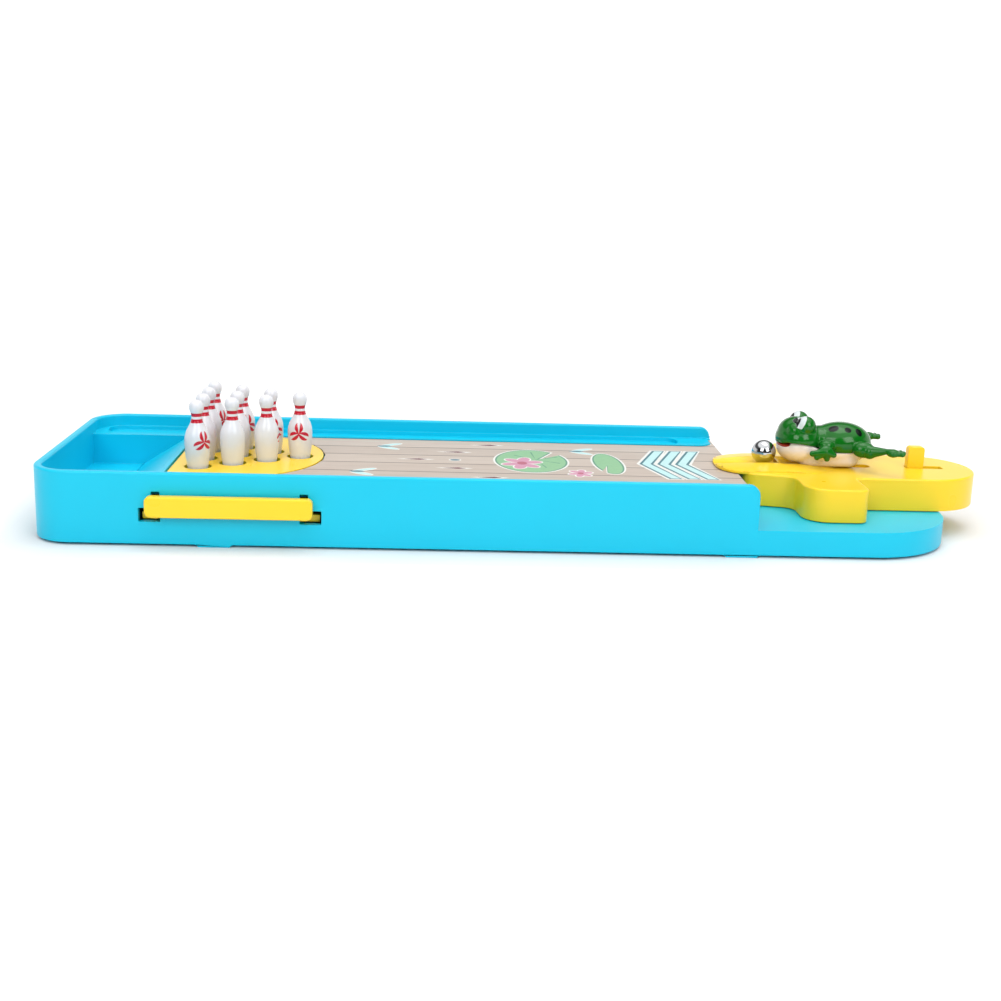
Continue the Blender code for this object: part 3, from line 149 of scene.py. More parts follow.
# Behind the game a white backdrop ends in a dark gap below the ceiling. The room in front is dark,
# which gives the ball and the lacquer their dark reflections.
backdrop = room_side(((0.0, 1.06), (0.34, 1.06), (0.4, 0.15), (0.66, 0.15), (0.76, 1.35),
                      (1.0, 1.35)))
dark_room = room_side(((0.0, 0.2), (0.1, 0.04), (0.6, 0.04), (0.76, 1.35), (1.0, 1.35)))
behind = add_node(tree, "MapRange", {0: ways[1], 1: -0.3, 2: 0.1})
room = add_node(tree, "Mix", {0: behind, 6: dark_room, 7: backdrop}, data_type="RGBA")
tree.links.new(room.outputs[2], tree.nodes["Background"].inputs["Color"])
tree.nodes["Background"].inputs["Strength"].default_value = 1.0
bpy.context.scene.world = world
bpy.context.scene.view_settings.view_transform = "Standard"


def soft_box(name, location, target, size, power):
    """A rectangular area light aimed at target."""
    light = bpy.data.lights.new(name, "AREA")
    light.shape = "RECTANGLE"
    light.size, light.size_y = size
    light.energy = power
    holder = bpy.data.objects.new(name, light)
    bpy.context.scene.collection.objects.link(holder)
    holder.location = location
    aim = Vector(target) - Vector(location)
    holder.rotation_euler = aim.to_track_quat("-Z", "Y").to_euler()


soft_box("overhead_light", (0.2, 0.1, 1.5), (0, 0, 0), (1.0, 0.8), 6.0)
soft_box("left_light", (-0.72, -1.35, 0.95), (0, 0, 0.02), (0.8, 0.9), 9.6)
soft_box("right_light", (0.78, -1.3, 0.9), (0, 0, 0.02), (0.8, 0.9), 10.4)

camera = bpy.data.cameras.new("camera")
camera.lens = 50.35
camera.sensor_width = 36.0
camera.clip_start = 0.01
viewpoint = bpy.data.objects.new("camera", camera)
bpy.context.scene.collection.objects.link(viewpoint)
pitch, yaw, roll = math.radians(14.38), math.radians(2.3), math.radians(1.76)
gaze = Vector((math.sin(yaw) * math.cos(pitch), math.cos(yaw) * math.cos(pitch), -math.sin(pitch)))
aside = Vector((math.cos(yaw), -math.sin(yaw), 0))
right = math.cos(roll) * aside + math.sin(roll) * aside.cross(gaze)
turn = Matrix((right, right.cross(gaze), -gaze)).transposed().to_4x4()
viewpoint.matrix_world = Matrix.Translation((-0.0315, -0.56301, 0.15058)) @ turn
bpy.context.scene.camera = viewpoint

# The tray: one injection moulding in cyan ABS, with its walls, deck, gutters, storage well and
# launcher platform. It stands on four low feet, and its underside is open with ribs.


def select_only(piece):
    bpy.ops.object.select_all(action="DESELECT")
    bpy.context.view_layer.objects.active = piece
    piece.select_set(True)


def finish_solid(name):
    """Names the solid that was just added and applies its place, turn and scale."""
    piece = bpy.context.object
    piece.name = name
    bpy.ops.object.transform_apply(location=True, rotation=True, scale=True)
    return piece


def box(name, low, high):
    """A block between two opposite corners."""
    size = [b - a for a, b in zip(low, high)]
    middle = [(a + b) / 2 for a, b in zip(low, high)]
    bpy.ops.mesh.primitive_cube_add(size=1, location=middle, scale=size)
    return finish_solid(name)


def rod(name, middle, radius, length, sides=48, turn=(0, 0, 0)):
    """A straight cylinder about middle, upright unless turned."""
    bpy.ops.mesh.primitive_cylinder_add(vertices=sides, radius=radius, depth=length,
                                        location=middle, rotation=turn)
    return finish_solid(name)


def ball(name, middle, size, sides=48, rings=24):
    """A ball stretched to size about middle."""
    bpy.ops.mesh.primitive_uv_sphere_add(segments=sides, ring_count=rings, radius=0.5,
                                         location=middle, scale=size)
    return finish_solid(name)


def settle(piece, location, turn=(0, 0, 0)):
    """Moves and turns a piece about the origin and applies that."""
    select_only(piece)
    piece.location, piece.rotation_euler = location, turn
    bpy.ops.object.transform_apply(location=True, rotation=True, scale=True)
    return piece


def round_edges(piece, radius, segments, chosen):
    """Rounds the edges whose two ends chosen(start, end) accepts."""
    select_only(piece)
    bpy.ops.object.mode_set(mode="EDIT")
    bpy.ops.mesh.select_mode(type="EDGE")
    bpy.ops.mesh.select_all(action="DESELECT")
    shape = bmesh.from_edit_mesh(piece.data)
    for edge in shape.edges:
        edge.select_set(chosen(edge.verts[0].co, edge.verts[1].co))
    shape.select_flush_mode()
    bmesh.update_edit_mesh(piece.data)
    bpy.ops.mesh.bevel(offset=radius, offset_type="OFFSET", segments=segments, affect="EDGES",
                       clamp_overlap=False)
    bpy.ops.object.mode_set(mode="OBJECT")
    return piece


def upright(xs=(), ys=()):
    """Picks the upright edges: all of them, or those at each x with each y."""
    def chosen(start, end):
        middle = ((start + end) / 2).xy
        if abs(start.z - end.z) < 1e-5 or (start.xy - end.xy).length > 1e-5:
            return False
        return not xs or any((middle - Vector((x, y))).length < 1e-4 for x in xs for y in ys)
    return chosen


def on_planes(**planes):
    """Picks the edges that lie in all the given planes, such as z=0.02."""
    def chosen(start, end):
        return all(abs(getattr(spot, axis) - level) < 1e-6
                   for spot in (start, end) for axis, level in planes.items())
    return chosen


def apply_modifiers(piece):
    select_only(piece)
    for step in list(piece.modifiers):
        bpy.ops.object.modifier_apply(modifier=step.name)


def boolean(piece, operation, tools):
    """Works each tool into the piece and uses it up."""
    for tool in tools:
        step = piece.modifiers.new(tool.name, "BOOLEAN")
        step.operation = operation
        step.solver = "EXACT"
        step.object = tool
        apply_modifiers(piece)
        bpy.data.objects.remove(tool)
    return piece


def cut(piece, *tools):
    return boolean(piece, "DIFFERENCE", tools)


def fuse(piece, *tools):
    return boolean(piece, "UNION", tools)


def split_at(piece, points, normal):
    """Cuts the faces along a plane at each point, so that none has an opening within it."""
    select_only(piece)
    bpy.ops.object.mode_set(mode="EDIT")
    for point in points:
        bpy.ops.mesh.select_all(action="SELECT")
        bpy.ops.mesh.bisect(plane_co=point, plane_no=normal)
    bpy.ops.object.mode_set(mode="OBJECT")


def soften(piece, width, segments=3, angle=35):
    """Breaks all sharp edges, as a mould does, and shades what is left smooth."""
    bevel = piece.modifiers.new("Bevel", "BEVEL")
    bevel.width = width
    bevel.segments = segments
    bevel.limit_method = "ANGLE"
    bevel.angle_limit = math.radians(angle)
    bevel.use_clamp_overlap = False
    bevel.miter_outer = "MITER_ARC"
    apply_modifiers(piece)
    bpy.ops.object.shade_smooth_by_angle(angle=math.radians(35))
    piece.modifiers.new("Weighted", "WEIGHTED_NORMAL").keep_sharp = True
    apply_modifiers(piece)


def abs_plastic(name, hues, roughness):
    """Injection-moulded ABS: an even, full colour with faint flow clouds of 40 mm, and a soft
    gloss that handling has dulled a little in patches of 12 mm."""
    material, tree, shader, place = start_material(name)
    mottle(tree, shader, place, 40, 2.0, hues)
    mottle(tree, shader, place, 12, 0.0, sheen=(roughness - 0.015, roughness + 0.025))
    shader.inputs["IOR"].default_value = 1.5
    shader.inputs["Specular IOR Level"].default_value = 0.35
    return material


tray_low, tray_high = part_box("base_tray")
left_end, right_end = tray_low.x, tray_high.x
half_width, rim_z = tray_high.y, tray_high.z
lane_end = left_end + 0.274
foot_height, deck_z, deck_under, platform_z = 0.001, 0.0235, 0.0195, 0.0108
wall, floor_thick = 0.003, 0.0025
inner_y = half_width - wall
storage_corner, platform_corner, inner_corner = 0.015, 0.035, 0.012
past_y, past_z = 0.1, 0.05  # where a block that cuts right through may end

tray = box("tray", (left_end, -half_width, foot_height), (right_end, half_width, rim_z))
round_edges(tray, storage_corner, 24, upright([left_end], [-half_width, half_width]))
round_edges(tray, platform_corner, 44, upright([right_end], [-half_width, half_width]))
cut(tray, box("platform_step", (lane_end, -past_y, platform_z), (right_end + 0.01, past_y, past_z)))
round_edges(tray, 0.0045, 10, on_planes(x=lane_end, z=rim_z))
channel = box("channel", (left_end + wall, -inner_y, deck_z), (lane_end + 0.01, inner_y, past_z))
round_edges(channel, inner_corner, 20, upright([left_end + wall], [-inner_y, inner_y]))
cut(tray, channel)


def on_rim(start, end):
    """Picks the edges along the top of the walls and down their rounded ends."""
    middle = (start + end) / 2
    if middle.x > lane_end - 0.0001 and middle.z < deck_z + 0.0007:
        return False
    raised = min(start.z, end.z) > deck_z + 0.0003
    return raised and (abs(middle.y) > inner_y - 0.0001
                       or middle.x < left_end + storage_corner + 0.0001)


round_edges(tray, 0.0009, 4, on_rim)

# The lane sheet's bed, wider at the launcher's end where the margins stop in round corners
bed_z, bed_half, mouth_half, above_deck = 0.0213, 0.0378, 0.0513, 0.04
mouth_x = lane_end - 0.0015
bed = box("sheet_bed", (left_end + 0.0831, -bed_half, bed_z),
          (lane_end - 0.0007, bed_half, above_deck))
fuse(bed,
     box("bed_mouth", (mouth_x, -mouth_half, bed_z), (lane_end + 0.01, mouth_half, above_deck)))
round_edges(bed, 0.0067, 12, upright([mouth_x], [-bed_half, bed_half]))
cut(tray, bed)


def plate_shape(name, gap, low, high):
    """The pin plate's plan: a round nose towards the launcher and straight sides, grown by gap."""
    straight_x, side_y = left_end + 0.0476 - gap, 0.0355 + gap
    nose_middle = (left_end + 0.0639, 0, (low + high) / 2)
    nose = rod(name, nose_middle, 0.041 + gap, high - low, 180)
    sides = box("plate_sides", (straight_x, -side_y, low - 0.01),
                (left_end + 0.12, side_y, high + 0.01))
    round_edges(sides, 0.0015 + gap, 6, upright([straight_x], [-side_y, side_y]))
    return boolean(nose, "INTERSECT", [sides])


cut(tray, plate_shape("plate_bed", 0.0008, 0.0211, above_deck))

gutter_depth = 0.0017
gutter_ends = (left_end + 0.0075, lane_end - 0.016)
for side in (-1, 1):
    gutter_sides = sorted((side * 0.0388, side * 0.0523))
    gutter = box("gutter", (gutter_ends[0], gutter_sides[0], deck_z - gutter_depth),
                 (gutter_ends[1], gutter_sides[1], above_deck))
    round_edges(gutter, 0.005, 10, upright(gutter_ends, gutter_sides))
    cut(tray, gutter)

ramp_foot, ramp_run, well_half = left_end + 0.0245, 0.02, 0.03325
ramp_slope = math.atan2(deck_z - platform_z, ramp_run)


def below_ramp(name, low, high):
    """A slab from low to high under the ramp's slope, which starts at the foot of the ramp."""
    slab = box(name, (left_end, -0.06, low), (left_end + 0.09, 0.06, high))
    slope = Matrix.Translation((ramp_foot, 0, platform_z)) @ Matrix.Rotation(-ramp_slope, 4, "Y")
    slab.data.transform(slope @ Matrix.Translation((-left_end, 0, 0)))
    return slab


well = box("well", (left_end + wall, -well_half, platform_z),
           (ramp_foot + ramp_run, well_half, deck_z + 0.02))
cut(well, below_ramp("ramp", -0.02, 0))
cut(tray, well)

under_z = platform_z - floor_thick
hollow_ends = (left_end + wall, right_end - wall)
hollow = box("hollow", (hollow_ends[0], -inner_y, -0.01), (hollow_ends[1], inner_y, deck_under))
round_edges(hollow, inner_corner, 12, upright(hollow_ends[:1], [-inner_y, inner_y]))
round_edges(hollow, platform_corner - wall, 24, upright(hollow_ends[1:], [-inner_y, inner_y]))
cut(hollow, box("platform_floor", (lane_end - wall, -past_y, under_z), (right_end, past_y, past_z)))
well_body = box("well_body", (left_end, -well_half - floor_thick, under_z),
                (left_end + 0.07, well_half + floor_thick, past_z))
cut(well_body, below_ramp("cut_ramp", -0.03, -floor_thick))
cut(hollow, well_body)
cut(tray, hollow)

rib_low, rib_high, rib = deck_under - 0.006, deck_under + 0.001, 0.0016
for y in (-0.022, 0.022):
    fuse(tray, box("long_rib", (left_end + 0.111, y - rib / 2, rib_low),
                   (lane_end - 0.001, y + rib / 2, rib_high)))
for x in (left_end + 0.111, left_end + 0.1648, left_end + 0.2186):
    fuse(tray, box("cross_rib", (x, -0.0545, rib_low), (x + rib, 0.0545, rib_high)))
for x in (left_end + 0.0691, left_end + 0.2683):
    foot_ends = (x - 0.0068, x + 0.0068)
    for side in (-1, 1):
        near, far = sorted((side * half_width, side * inner_y))
        foot = box("foot", (foot_ends[0], near, 0), (foot_ends[1], far, foot_height * 2))
        for end in foot_ends:
            round_edges(foot, foot_height, 1, on_planes(x=end, z=0))
        fuse(tray, foot)

# The handles' arms rise in upright slots, and their hooks pass the walls through notches
arm_places = [(end, left_end + 0.0753 + end * 0.02745) for end in (-1, 1)]
for side in (-1, 1):
    near, far = sorted((side * (inner_y - 0.0003), side * (half_width + 0.002)))
    for end, x in arm_places:
        cut(tray, box("slot", (x - 0.00155, near, 0.0097), (x + 0.00155, far, 0.0211)))
        low_x, high_x = sorted((x, x + end * 0.00645))
        cut(tray, box("notch", (low_x, near, 0.0096), (high_x, far, 0.0148)))
leg_y = 0.0305
for x in (left_end + 0.0536, left_end + 0.0759):
    for y in (-leg_y, leg_y):
        cut(tray, rod("leg_hole", (x, y, 0.02), 0.0023, 0.02, 32))
pivot_x = lane_end + 0.034
cut(tray, rod("pivot_hole", (pivot_x, 0, 0.01), 0.0044, 0.02, 64))
split_at(tray, [(0, y, 0) for y in (-0.0455, -leg_y, 0.0, leg_y, 0.0455)], (0, 1, 0))
split_at(tray, [(left_end + x, 0, 0) for x in (0.02, 0.04785, 0.075, 0.10275)], (1, 0, 0))
soften(tray, 0.00025, 2)
cyan_abs = abs_plastic("cyan_moulded_abs", ("#00c4e4", "#00bede"), 0.36)
put_material(tray, cyan_abs)
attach(tray, "tray")
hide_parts("base_tray")

# The lane: a thin PVC sheet, dropped into the deck's recess. Its planks are printed on it, under a
# satin film.

# Printed PVC film: pale planks 14.9 mm wide, each a shade apart, with dark seams and a streaky
# grain about 38 mm long and 1.4 mm wide. The film gives a broken, satin shine.
lane_print, tree, shader, place = start_material("printed_pvc_sheet")
plank_width = 0.0149
across = add_node(tree, "SeparateXYZ", {0: place}).outputs[1]
plank = add_node(tree, "Math", {0: across, 1: plank_width}, operation="DIVIDE")
plank = add_node(tree, "Math", {0: plank, 1: 0.5})
row = add_node(tree, "Math", {0: plank}, operation="FLOOR")
tone = add_node(tree, "TexWhiteNoise", {1: row}, noise_dimensions="1D")
printed = add_node(tree, "Mix", {0: tone, 6: srgb("#beb0a4"), 7: srgb("#c9bcb0")},
                   data_type="RGBA").outputs[2]
streaks = add_node(tree, "Mapping", {0: place, 3: (1000 / 38.5, 1000 / 1.43, 1.0)})
grain = add_node(tree, "TexNoise",
                 {"Vector": streaks, "Scale": 1.0, "Detail": 5.0, "Roughness": 0.62})
grain = add_node(tree, "MapRange", {0: grain, 1: 0.42, 2: 0.72, 3: 0.0, 4: 0.42})
inside = add_node(tree, "Math", {0: plank}, operation="FRACT")
inside = add_node(tree, "Math", {0: inside, 1: 0.5}, operation="SUBTRACT")
inside = add_node(tree, "Math", {0: inside}, operation="ABSOLUTE")
seam = add_node(tree, "MapRange", {0: inside, 1: 0.468, 2: 0.478, 3: 0.0, 4: 0.85})
for mask, colour in ((grain, "#9a8778"), (seam, "#4a3630")):
    printed = add_node(tree, "Mix", {0: mask, 6: printed, 7: srgb(colour)},
                       data_type="RGBA").outputs[2]
tree.links.new(printed, shader.inputs["Base Color"])
mottle(tree, shader, place, 5.56, 3.0, sheen=(0.38, 0.5))
shader.inputs["IOR"].default_value = 1.5
put_material(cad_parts["lane_sheet"], lane_print)

# The lane's pictures: a water lily on its pad, a smaller pad, leaves and lane arrows, printed on
# the sheet. Each ink lies a hundredth of a millimetre above the one below it.
sheet_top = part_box("lane_sheet")[1].z
ink_layer = 0.00001


def ink(name, *hues):
    """Screen-printing ink: flat, even colour with a faint wash, less shiny than the film."""
    material, tree, shader, place = start_material(name)
    mottle(tree, shader, place, 2.38, 3.0, hues, (0.42, 0.42))
    return material


white_ink = ink("white_ink", "#e8e8e4", "#dfddd8")
leaf_ink = ink("leaf_green_ink", "#8cbf8f", "#7fb284")
dark_ink = ink("dark_green_ink", "#4f8f74", "#47866c")
teal_ink = ink("teal_ink", "#2f7580", "#2a6b76")
pale_ink = ink("pale_blue_ink", "#c2e6e6", "#b4dcdd")
slate_ink = ink("slate_blue_ink", "#5a7f8c", "#507682")
pink_ink = ink("lilac_pink_ink", "#cf92ac", "#c4869f")
heart_ink = ink("rose_ink", "#b65a72", "#a94f68")
red_ink = ink("red_ink", "#6c1e28", "#621a22")


def print_on_lane(piece, inks):
    put_material(piece, inks)
    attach(piece, "tray")
    return piece


def dab(name, x, y, size, level, inks, sides=48, turn=0.0):
    """A flat printed oval."""
    middle = (left_end + x, y, sheet_top + ink_layer * (level + 0.5))
    bpy.ops.mesh.primitive_cylinder_add(vertices=sides, radius=0.5, depth=ink_layer,
                                        location=middle, rotation=(0, 0, turn),
                                        scale=(*size, 1))
    return print_on_lane(finish_solid(name), inks)


def outline_block(name, corners, low, high):
    """An upright block from (x, y) corners of its plan, anticlockwise."""
    bpy.ops.mesh.primitive_circle_add(vertices=len(corners), radius=0.01, fill_type="NGON",
                                      location=(0, 0, 0))
    piece = bpy.context.object
    piece.name = name
    for vertex, (x, y) in zip(piece.data.vertices, corners):
        vertex.co = (x, y, low)
    bpy.ops.object.mode_set(mode="EDIT")
    bpy.ops.mesh.select_all(action="SELECT")
    bpy.ops.mesh.extrude_region_move(TRANSFORM_OT_translate={"value": (0, 0, high - low)})
    bpy.ops.mesh.select_all(action="SELECT")
    bpy.ops.mesh.normals_make_consistent(inside=False)
    bpy.ops.object.mode_set(mode="OBJECT")
    return piece


def printed_block(name, corners, level, inks):
    """A flat printed shape from (x, y) corners, anticlockwise."""
    low = sheet_top + ink_layer * level
    corners = [(left_end + x, y) for x, y in corners]
    return print_on_lane(outline_block(name, corners, low, low + ink_layer), inks)


def notch(x, y, half_angle, direction, length=0.03):
    """A wedge that opens outwards from (x, y), to cut a lily pad's notch."""
    corners = [(left_end + x, y)]
    for angle in (direction - half_angle, direction + half_angle):
        corners.append((left_end + x + length * math.cos(angle), y + length * math.sin(angle)))
    return outline_block("pad_notch", corners, sheet_top - 0.001, sheet_top + 0.001)


pad_x, pad_y = 0.1905, 0.001
vein_x, vein_y = pad_x + 0.002, pad_y + 0.002
for layer, (grow, inks) in enumerate(((0.0030, white_ink), (0.0014, dark_ink), (0.0, leaf_ink))):
    pad = dab("lily_pad_%d" % (layer + 1), pad_x, pad_y, (0.0285 + grow, 0.040 + grow), layer,
              inks, 96)
    cut(pad, notch(vein_x + grow * 0.9, vein_y + grow * 0.9, 0.2, 0.95))
    pad = dab("small_pad_%d" % (layer + 1), 0.2222, -0.001, (0.0105 + grow, 0.036 + grow), layer,
              inks, 72, 0.06)
    cut(pad, notch(0.2216 - grow * 0.3, -0.004 - grow, 0.1, -1.75))
for step in range(7):
    vein = [(vein_x, vein_y)]
    for angle in (1.67 + step * 0.84, 1.73 + step * 0.84):
        vein.append((vein_x + 0.0105 * math.cos(angle), vein_y + 0.0145 * math.sin(angle)))
    printed_block("pad_vein_%d" % (step + 1), vein, 3, dark_ink)


def lily(name, x, y, size, level):
    """A printed water lily of six petals with a white edge round them and a small heart."""
    for layer, (grow, inks) in enumerate(((0.0013, white_ink), (0.0, pink_ink))):
        petals = []
        for step in range(6):
            angle = step * math.pi / 3 + 0.3
            petal_x = x + size * 0.42 * math.cos(angle)
            petal_y = y + size * 0.6 * math.sin(angle)
            petals.append(dab(name + "_petal", petal_x, petal_y,
                              (size * 0.8 + grow, size * 0.46 + grow), level + layer, inks, 24,
                              angle))
        fuse(petals[0], *petals[1:])
        petals[0].name = "%s_%d" % (name, layer + 1)
    dab(name + "_heart", x, y, (size * 0.4, size * 0.52), level + 2, heart_ink, 24)


lily("flower", 0.1865, -0.0035, 0.0105, 4)
lily("small_flower", 0.2092, -0.0195, 0.0062, 0)
for number, (x, y) in enumerate(((0.1300, 0.0236), (0.1215, -0.0240), (0.2120, 0.0215)), 1):
    for layer, (grow, inks) in enumerate(((0.0014, white_ink), (0.0, pale_ink))):
        leaves = [dab("leaf", x + 0.0012 + lean * 0.0004, y + lean * 0.0031,
                      (0.0098 + grow, 0.0026 + grow), layer, inks, 20, lean * 0.55)
                  for lean in (-1, 1)]
        fuse(leaves[0], leaves[1])
        leaves[0].name = "leaf_pair_%d_%d" % (number, layer + 1)
    dab("leaf_bud_%d" % number, x - 0.0012, y, (0.0062, 0.0026), 2, slate_ink, 20)
    dab("leaf_heart_%d" % number, x - 0.0004, y, (0.0030, 0.0013), 3, teal_ink, 16)

# Three lane arrows, each a bent bar whose arms run back towards the launcher
arrow_step, arrow_half, arrow_bar, arrow_lean = 0.0074, 0.0252, 0.0040, 0.0085
for index in range(3):
    for layer, (grow, inks) in enumerate(((0.0015, white_ink), (0.0006, teal_ink),
                                          (-0.0002, pale_ink))):
        point = 0.2362 + index * arrow_step
        tail_y = arrow_half + grow
        tail_near, tail_far = point + arrow_lean - grow, point + arrow_lean + arrow_bar + grow
        corners = ((point - grow * 1.4, 0), (tail_near, -tail_y), (tail_far, -tail_y),
                   (point + arrow_bar + grow * 1.4, 0), (tail_far, tail_y), (tail_near, tail_y))
        printed_block("chevron_%d_%d" % (index + 1, layer + 1), corners, index * 3 + layer, inks)
for number, (x, y) in enumerate(((0.1434, 0.0), (0.1593, plank_width), (0.1593, -plank_width),
                                 (0.1733, 2 * plank_width), (0.1733, -2 * plank_width)), 1):
    for layer, (grow, inks) in enumerate(((0.0007, white_ink), (0.0, red_ink))):
        dart_half = 0.0014 + grow / 2
        corners = ((x - 0.0054 - grow * 4, y), (x + 0.0010, y - dart_half),
                   (x + 0.0043 + grow * 4, y), (x + 0.0010, y + dart_half))
        printed_block("dart_%d_%d" % (number, layer + 1), corners, layer, inks)
dab("dot_edge", 0.1590, 0.0, (0.0052, 0.0040), 0, white_ink, 24)
dab("dot", 0.1590, 0.0, (0.0040, 0.0030), 1, slate_ink, 24)

# The pin setter: a yellow ABS plate with ten round holes, carried by a frame under the deck, and a
# pull bar on each side whose arms reach it through slots in the walls.
yellow_abs = abs_plastic("yellow_moulded_abs", ("#fbd32c", "#f9ce26"), 0.28)
plate_low, plate_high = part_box("pin_plate")
plate_under = 0.0214
plate = plate_shape("pin_plate_moulding", 0.0, plate_under, plate_high.z)
for number in range(1, 11):
    low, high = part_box("pin_%02d" % number)
    middle = (low + high) / 2
    cut(plate, rod("pin_hole", (middle.x, middle.y, 0.022), 0.0053, 0.01, 48))
leg_top = plate_under + 0.0011
for x in (left_end + 0.0536, left_end + 0.07591):
    for y in (-leg_y, leg_y):
        fuse(plate,
             rod("leg", (x, y, (plate_low.z + leg_top) / 2), 0.0017, leg_top - plate_low.z, 32))
split_at(plate, [(left_end + x, 0, 0) for x in (0.0577, 0.07031, 0.08292, 0.09553)], (1, 0, 0))
split_at(plate, [(0, y, 0) for y in (-leg_y, 0.0, leg_y)], (0, 1, 0))
soften(plate, 0.00018, 2)
put_material(plate, yellow_abs)
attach(plate, "pin_setter")
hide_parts("pin_plate")
put_material(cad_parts["lift_frame"], yellow_abs)

bar_ends = (left_end + 0.04435, left_end + 0.10625)
bar_low, bar_high = 0.0121, 0.0201
arm_half, arm_low, arm_high, drop_low, lap_high = 0.00125, 0.0116, 0.0134, 0.0094, 0.01125
for side, name in ((-1, "front_handle"), (1, "rear_handle")):
    face, back = side * 0.06055, side * 0.05705
    bar = box(name + "_bar", (bar_ends[0], min(face, back), bar_low),
              (bar_ends[1], max(face, back), bar_high))
    round_edges(bar, 0.0021, 8, lambda start, end: abs(start.y - end.y) > 0.002)
    round_edges(bar, 0.0008, 4, on_planes(y=face))
    for end, x in arm_places:
        for part, inner, outer, low_z, high_z in (
                ("arm", 0.04435, 0.0588, arm_low, arm_high),
                ("arm_drop", 0.04435, 0.04685, drop_low, arm_high),
                ("lap", 0.03835, 0.0446, drop_low, lap_high)):
            near, far = sorted((side * inner, side * outer))
            fuse(bar, box(part, (x - arm_half, near, low_z), (x + arm_half, far, high_z)))
        near, far = sorted((side * 0.05265, side * 0.05045))
        low_x, high_x = sorted((x, x + end * 0.00565))
        fuse(bar, box("hook", (low_x, near, 0.0099), (high_x, far, 0.0126)))
    soften(bar, 0.0002, 2)
    put_material(bar, yellow_abs)
    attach(bar, "pin_setter")
    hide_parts(name)

# The ten pins: white moulded plastic with a glossy lacquer. Two red rings run round each neck, and
# a red three-petalled mark is stamped on the belly of each.

# White lacquer over moulded plastic: a bright, wet shine over a white that has yellowed by a hair.
# The red is printed on by its own map, in millimetres round the belly and up the pin.
white_lacquer, tree, shader, place = start_material("white_lacquered_pin")
skin = mottle(tree, shader, place, 6.25, 2.0, ("#e4e4e8", "#dcdce1"), (0.12, 0.22))
uv = add_node(tree, "UVMap", uv_map="turned")
up_pin = add_node(tree, "SeparateXYZ", {0: uv}).outputs[1]


def stripe(level, height):
    """A mask for a ring round the pin, with its middle and height in millimetres."""
    off = add_node(tree, "Math", {0: up_pin, 1: level}, operation="SUBTRACT")
    off = add_node(tree, "Math", {0: off}, operation="ABSOLUTE")
    return add_node(tree, "MapRange",
                    {0: off, 1: height / 2 - 0.06, 2: height / 2 + 0.06, 3: 1.0, 4: 0.0})


stamp = add_node(tree, "VectorMath", {0: uv, 1: (0.0, 12.2, 0.0)}, operation="SUBTRACT")
spread = add_node(tree, "VectorMath", {0: stamp}, operation="LENGTH")
sides = add_node(tree, "SeparateXYZ", {0: stamp}).outputs
lobes = add_node(tree, "Math", {0: sides[0], 1: sides[1]}, operation="ARCTAN2")
lobes = add_node(tree, "Math", {0: lobes, 1: 1.5}, operation="MULTIPLY")
lobes = add_node(tree, "Math", {0: lobes}, operation="COSINE")
lobes = add_node(tree, "Math", {0: lobes}, operation="ABSOLUTE")
edge = add_node(tree, "Math", {0: lobes, 1: 3.6, 2: 0.8}, operation="MULTIPLY_ADD")
fill = add_node(tree, "Math", {0: edge, 1: spread.outputs["Value"]}, operation="SUBTRACT")
petals = add_node(tree, "MapRange", {0: fill, 1: -0.1, 2: 0.1})
veins = add_node(tree, "MapRange", {0: lobes, 1: 0.955, 2: 0.985, 3: 1.0, 4: 0.0})
reds = add_node(tree, "Math", {0: petals, 1: veins}, operation="MULTIPLY")
for ring in (stripe(20.1, 1.5), stripe(22.5, 1.4)):
    reds = add_node(tree, "Math", {0: reds, 1: ring}, operation="MAXIMUM")
painted = add_node(tree, "Mix", {0: reds, 6: skin, 7: srgb("#c3142c")}, data_type="RGBA")
tree.links.new(painted.outputs[2], shader.inputs["Base Color"])
shader.inputs["IOR"].default_value = 1.5

# The pin's outline as height and radius in millimetres: belly, shoulder, neck and head
pin_line = ((0.3, 3.85), (1.5, 4.05), (3.5, 4.35), (6, 4.65), (9, 4.92), (12, 5), (14, 4.8),
            (16, 4.2), (17.5, 3.4), (18.8, 2.72), (19.8, 2.35), (20.8, 2.14), (21.7, 2.05),
            (22.6, 2.13), (23.3, 2.36), (24, 2.64), (24.8, 2.84), (25.6, 2.89), (26.3, 2.81),
            (27, 2.52), (27.5, 2.14), (27.9, 1.6), (28.2, 0.9), (28.3, 0.3))
level, radius = 0.0, 0.0034
bpy.ops.mesh.primitive_circle_add(vertices=48, radius=radius, fill_type="NGON", location=(0, 0, 0))
pin = bpy.context.object
bpy.ops.object.mode_set(mode="EDIT")
bpy.ops.mesh.select_all(action="SELECT")
for height, half in pin_line:
    next_level, next_radius = height / 1000, half / 1000
    rise, share = next_level - level, next_radius / radius
    bpy.ops.mesh.extrude_region_move(TRANSFORM_OT_translate={"value": (0, 0, rise)})
    bpy.ops.transform.resize(value=(share, share, 1), center_override=(0, 0, next_level))
    level, radius = next_level, next_radius
bpy.ops.mesh.select_all(action="SELECT")
bpy.ops.mesh.normals_make_consistent(inside=False)
bpy.ops.object.mode_set(mode="OBJECT")
bpy.ops.object.shade_smooth_by_angle(angle=math.radians(50))
pin.data.uv_layers.new(name="turned")
round_belly = 4.6  # millimetres of the map for each radian round the pin
turns = (0.75, 2.4, -0.4, 0.9, -2.05, -0.9, 0.6, 1.95, 0.4, 0.0)
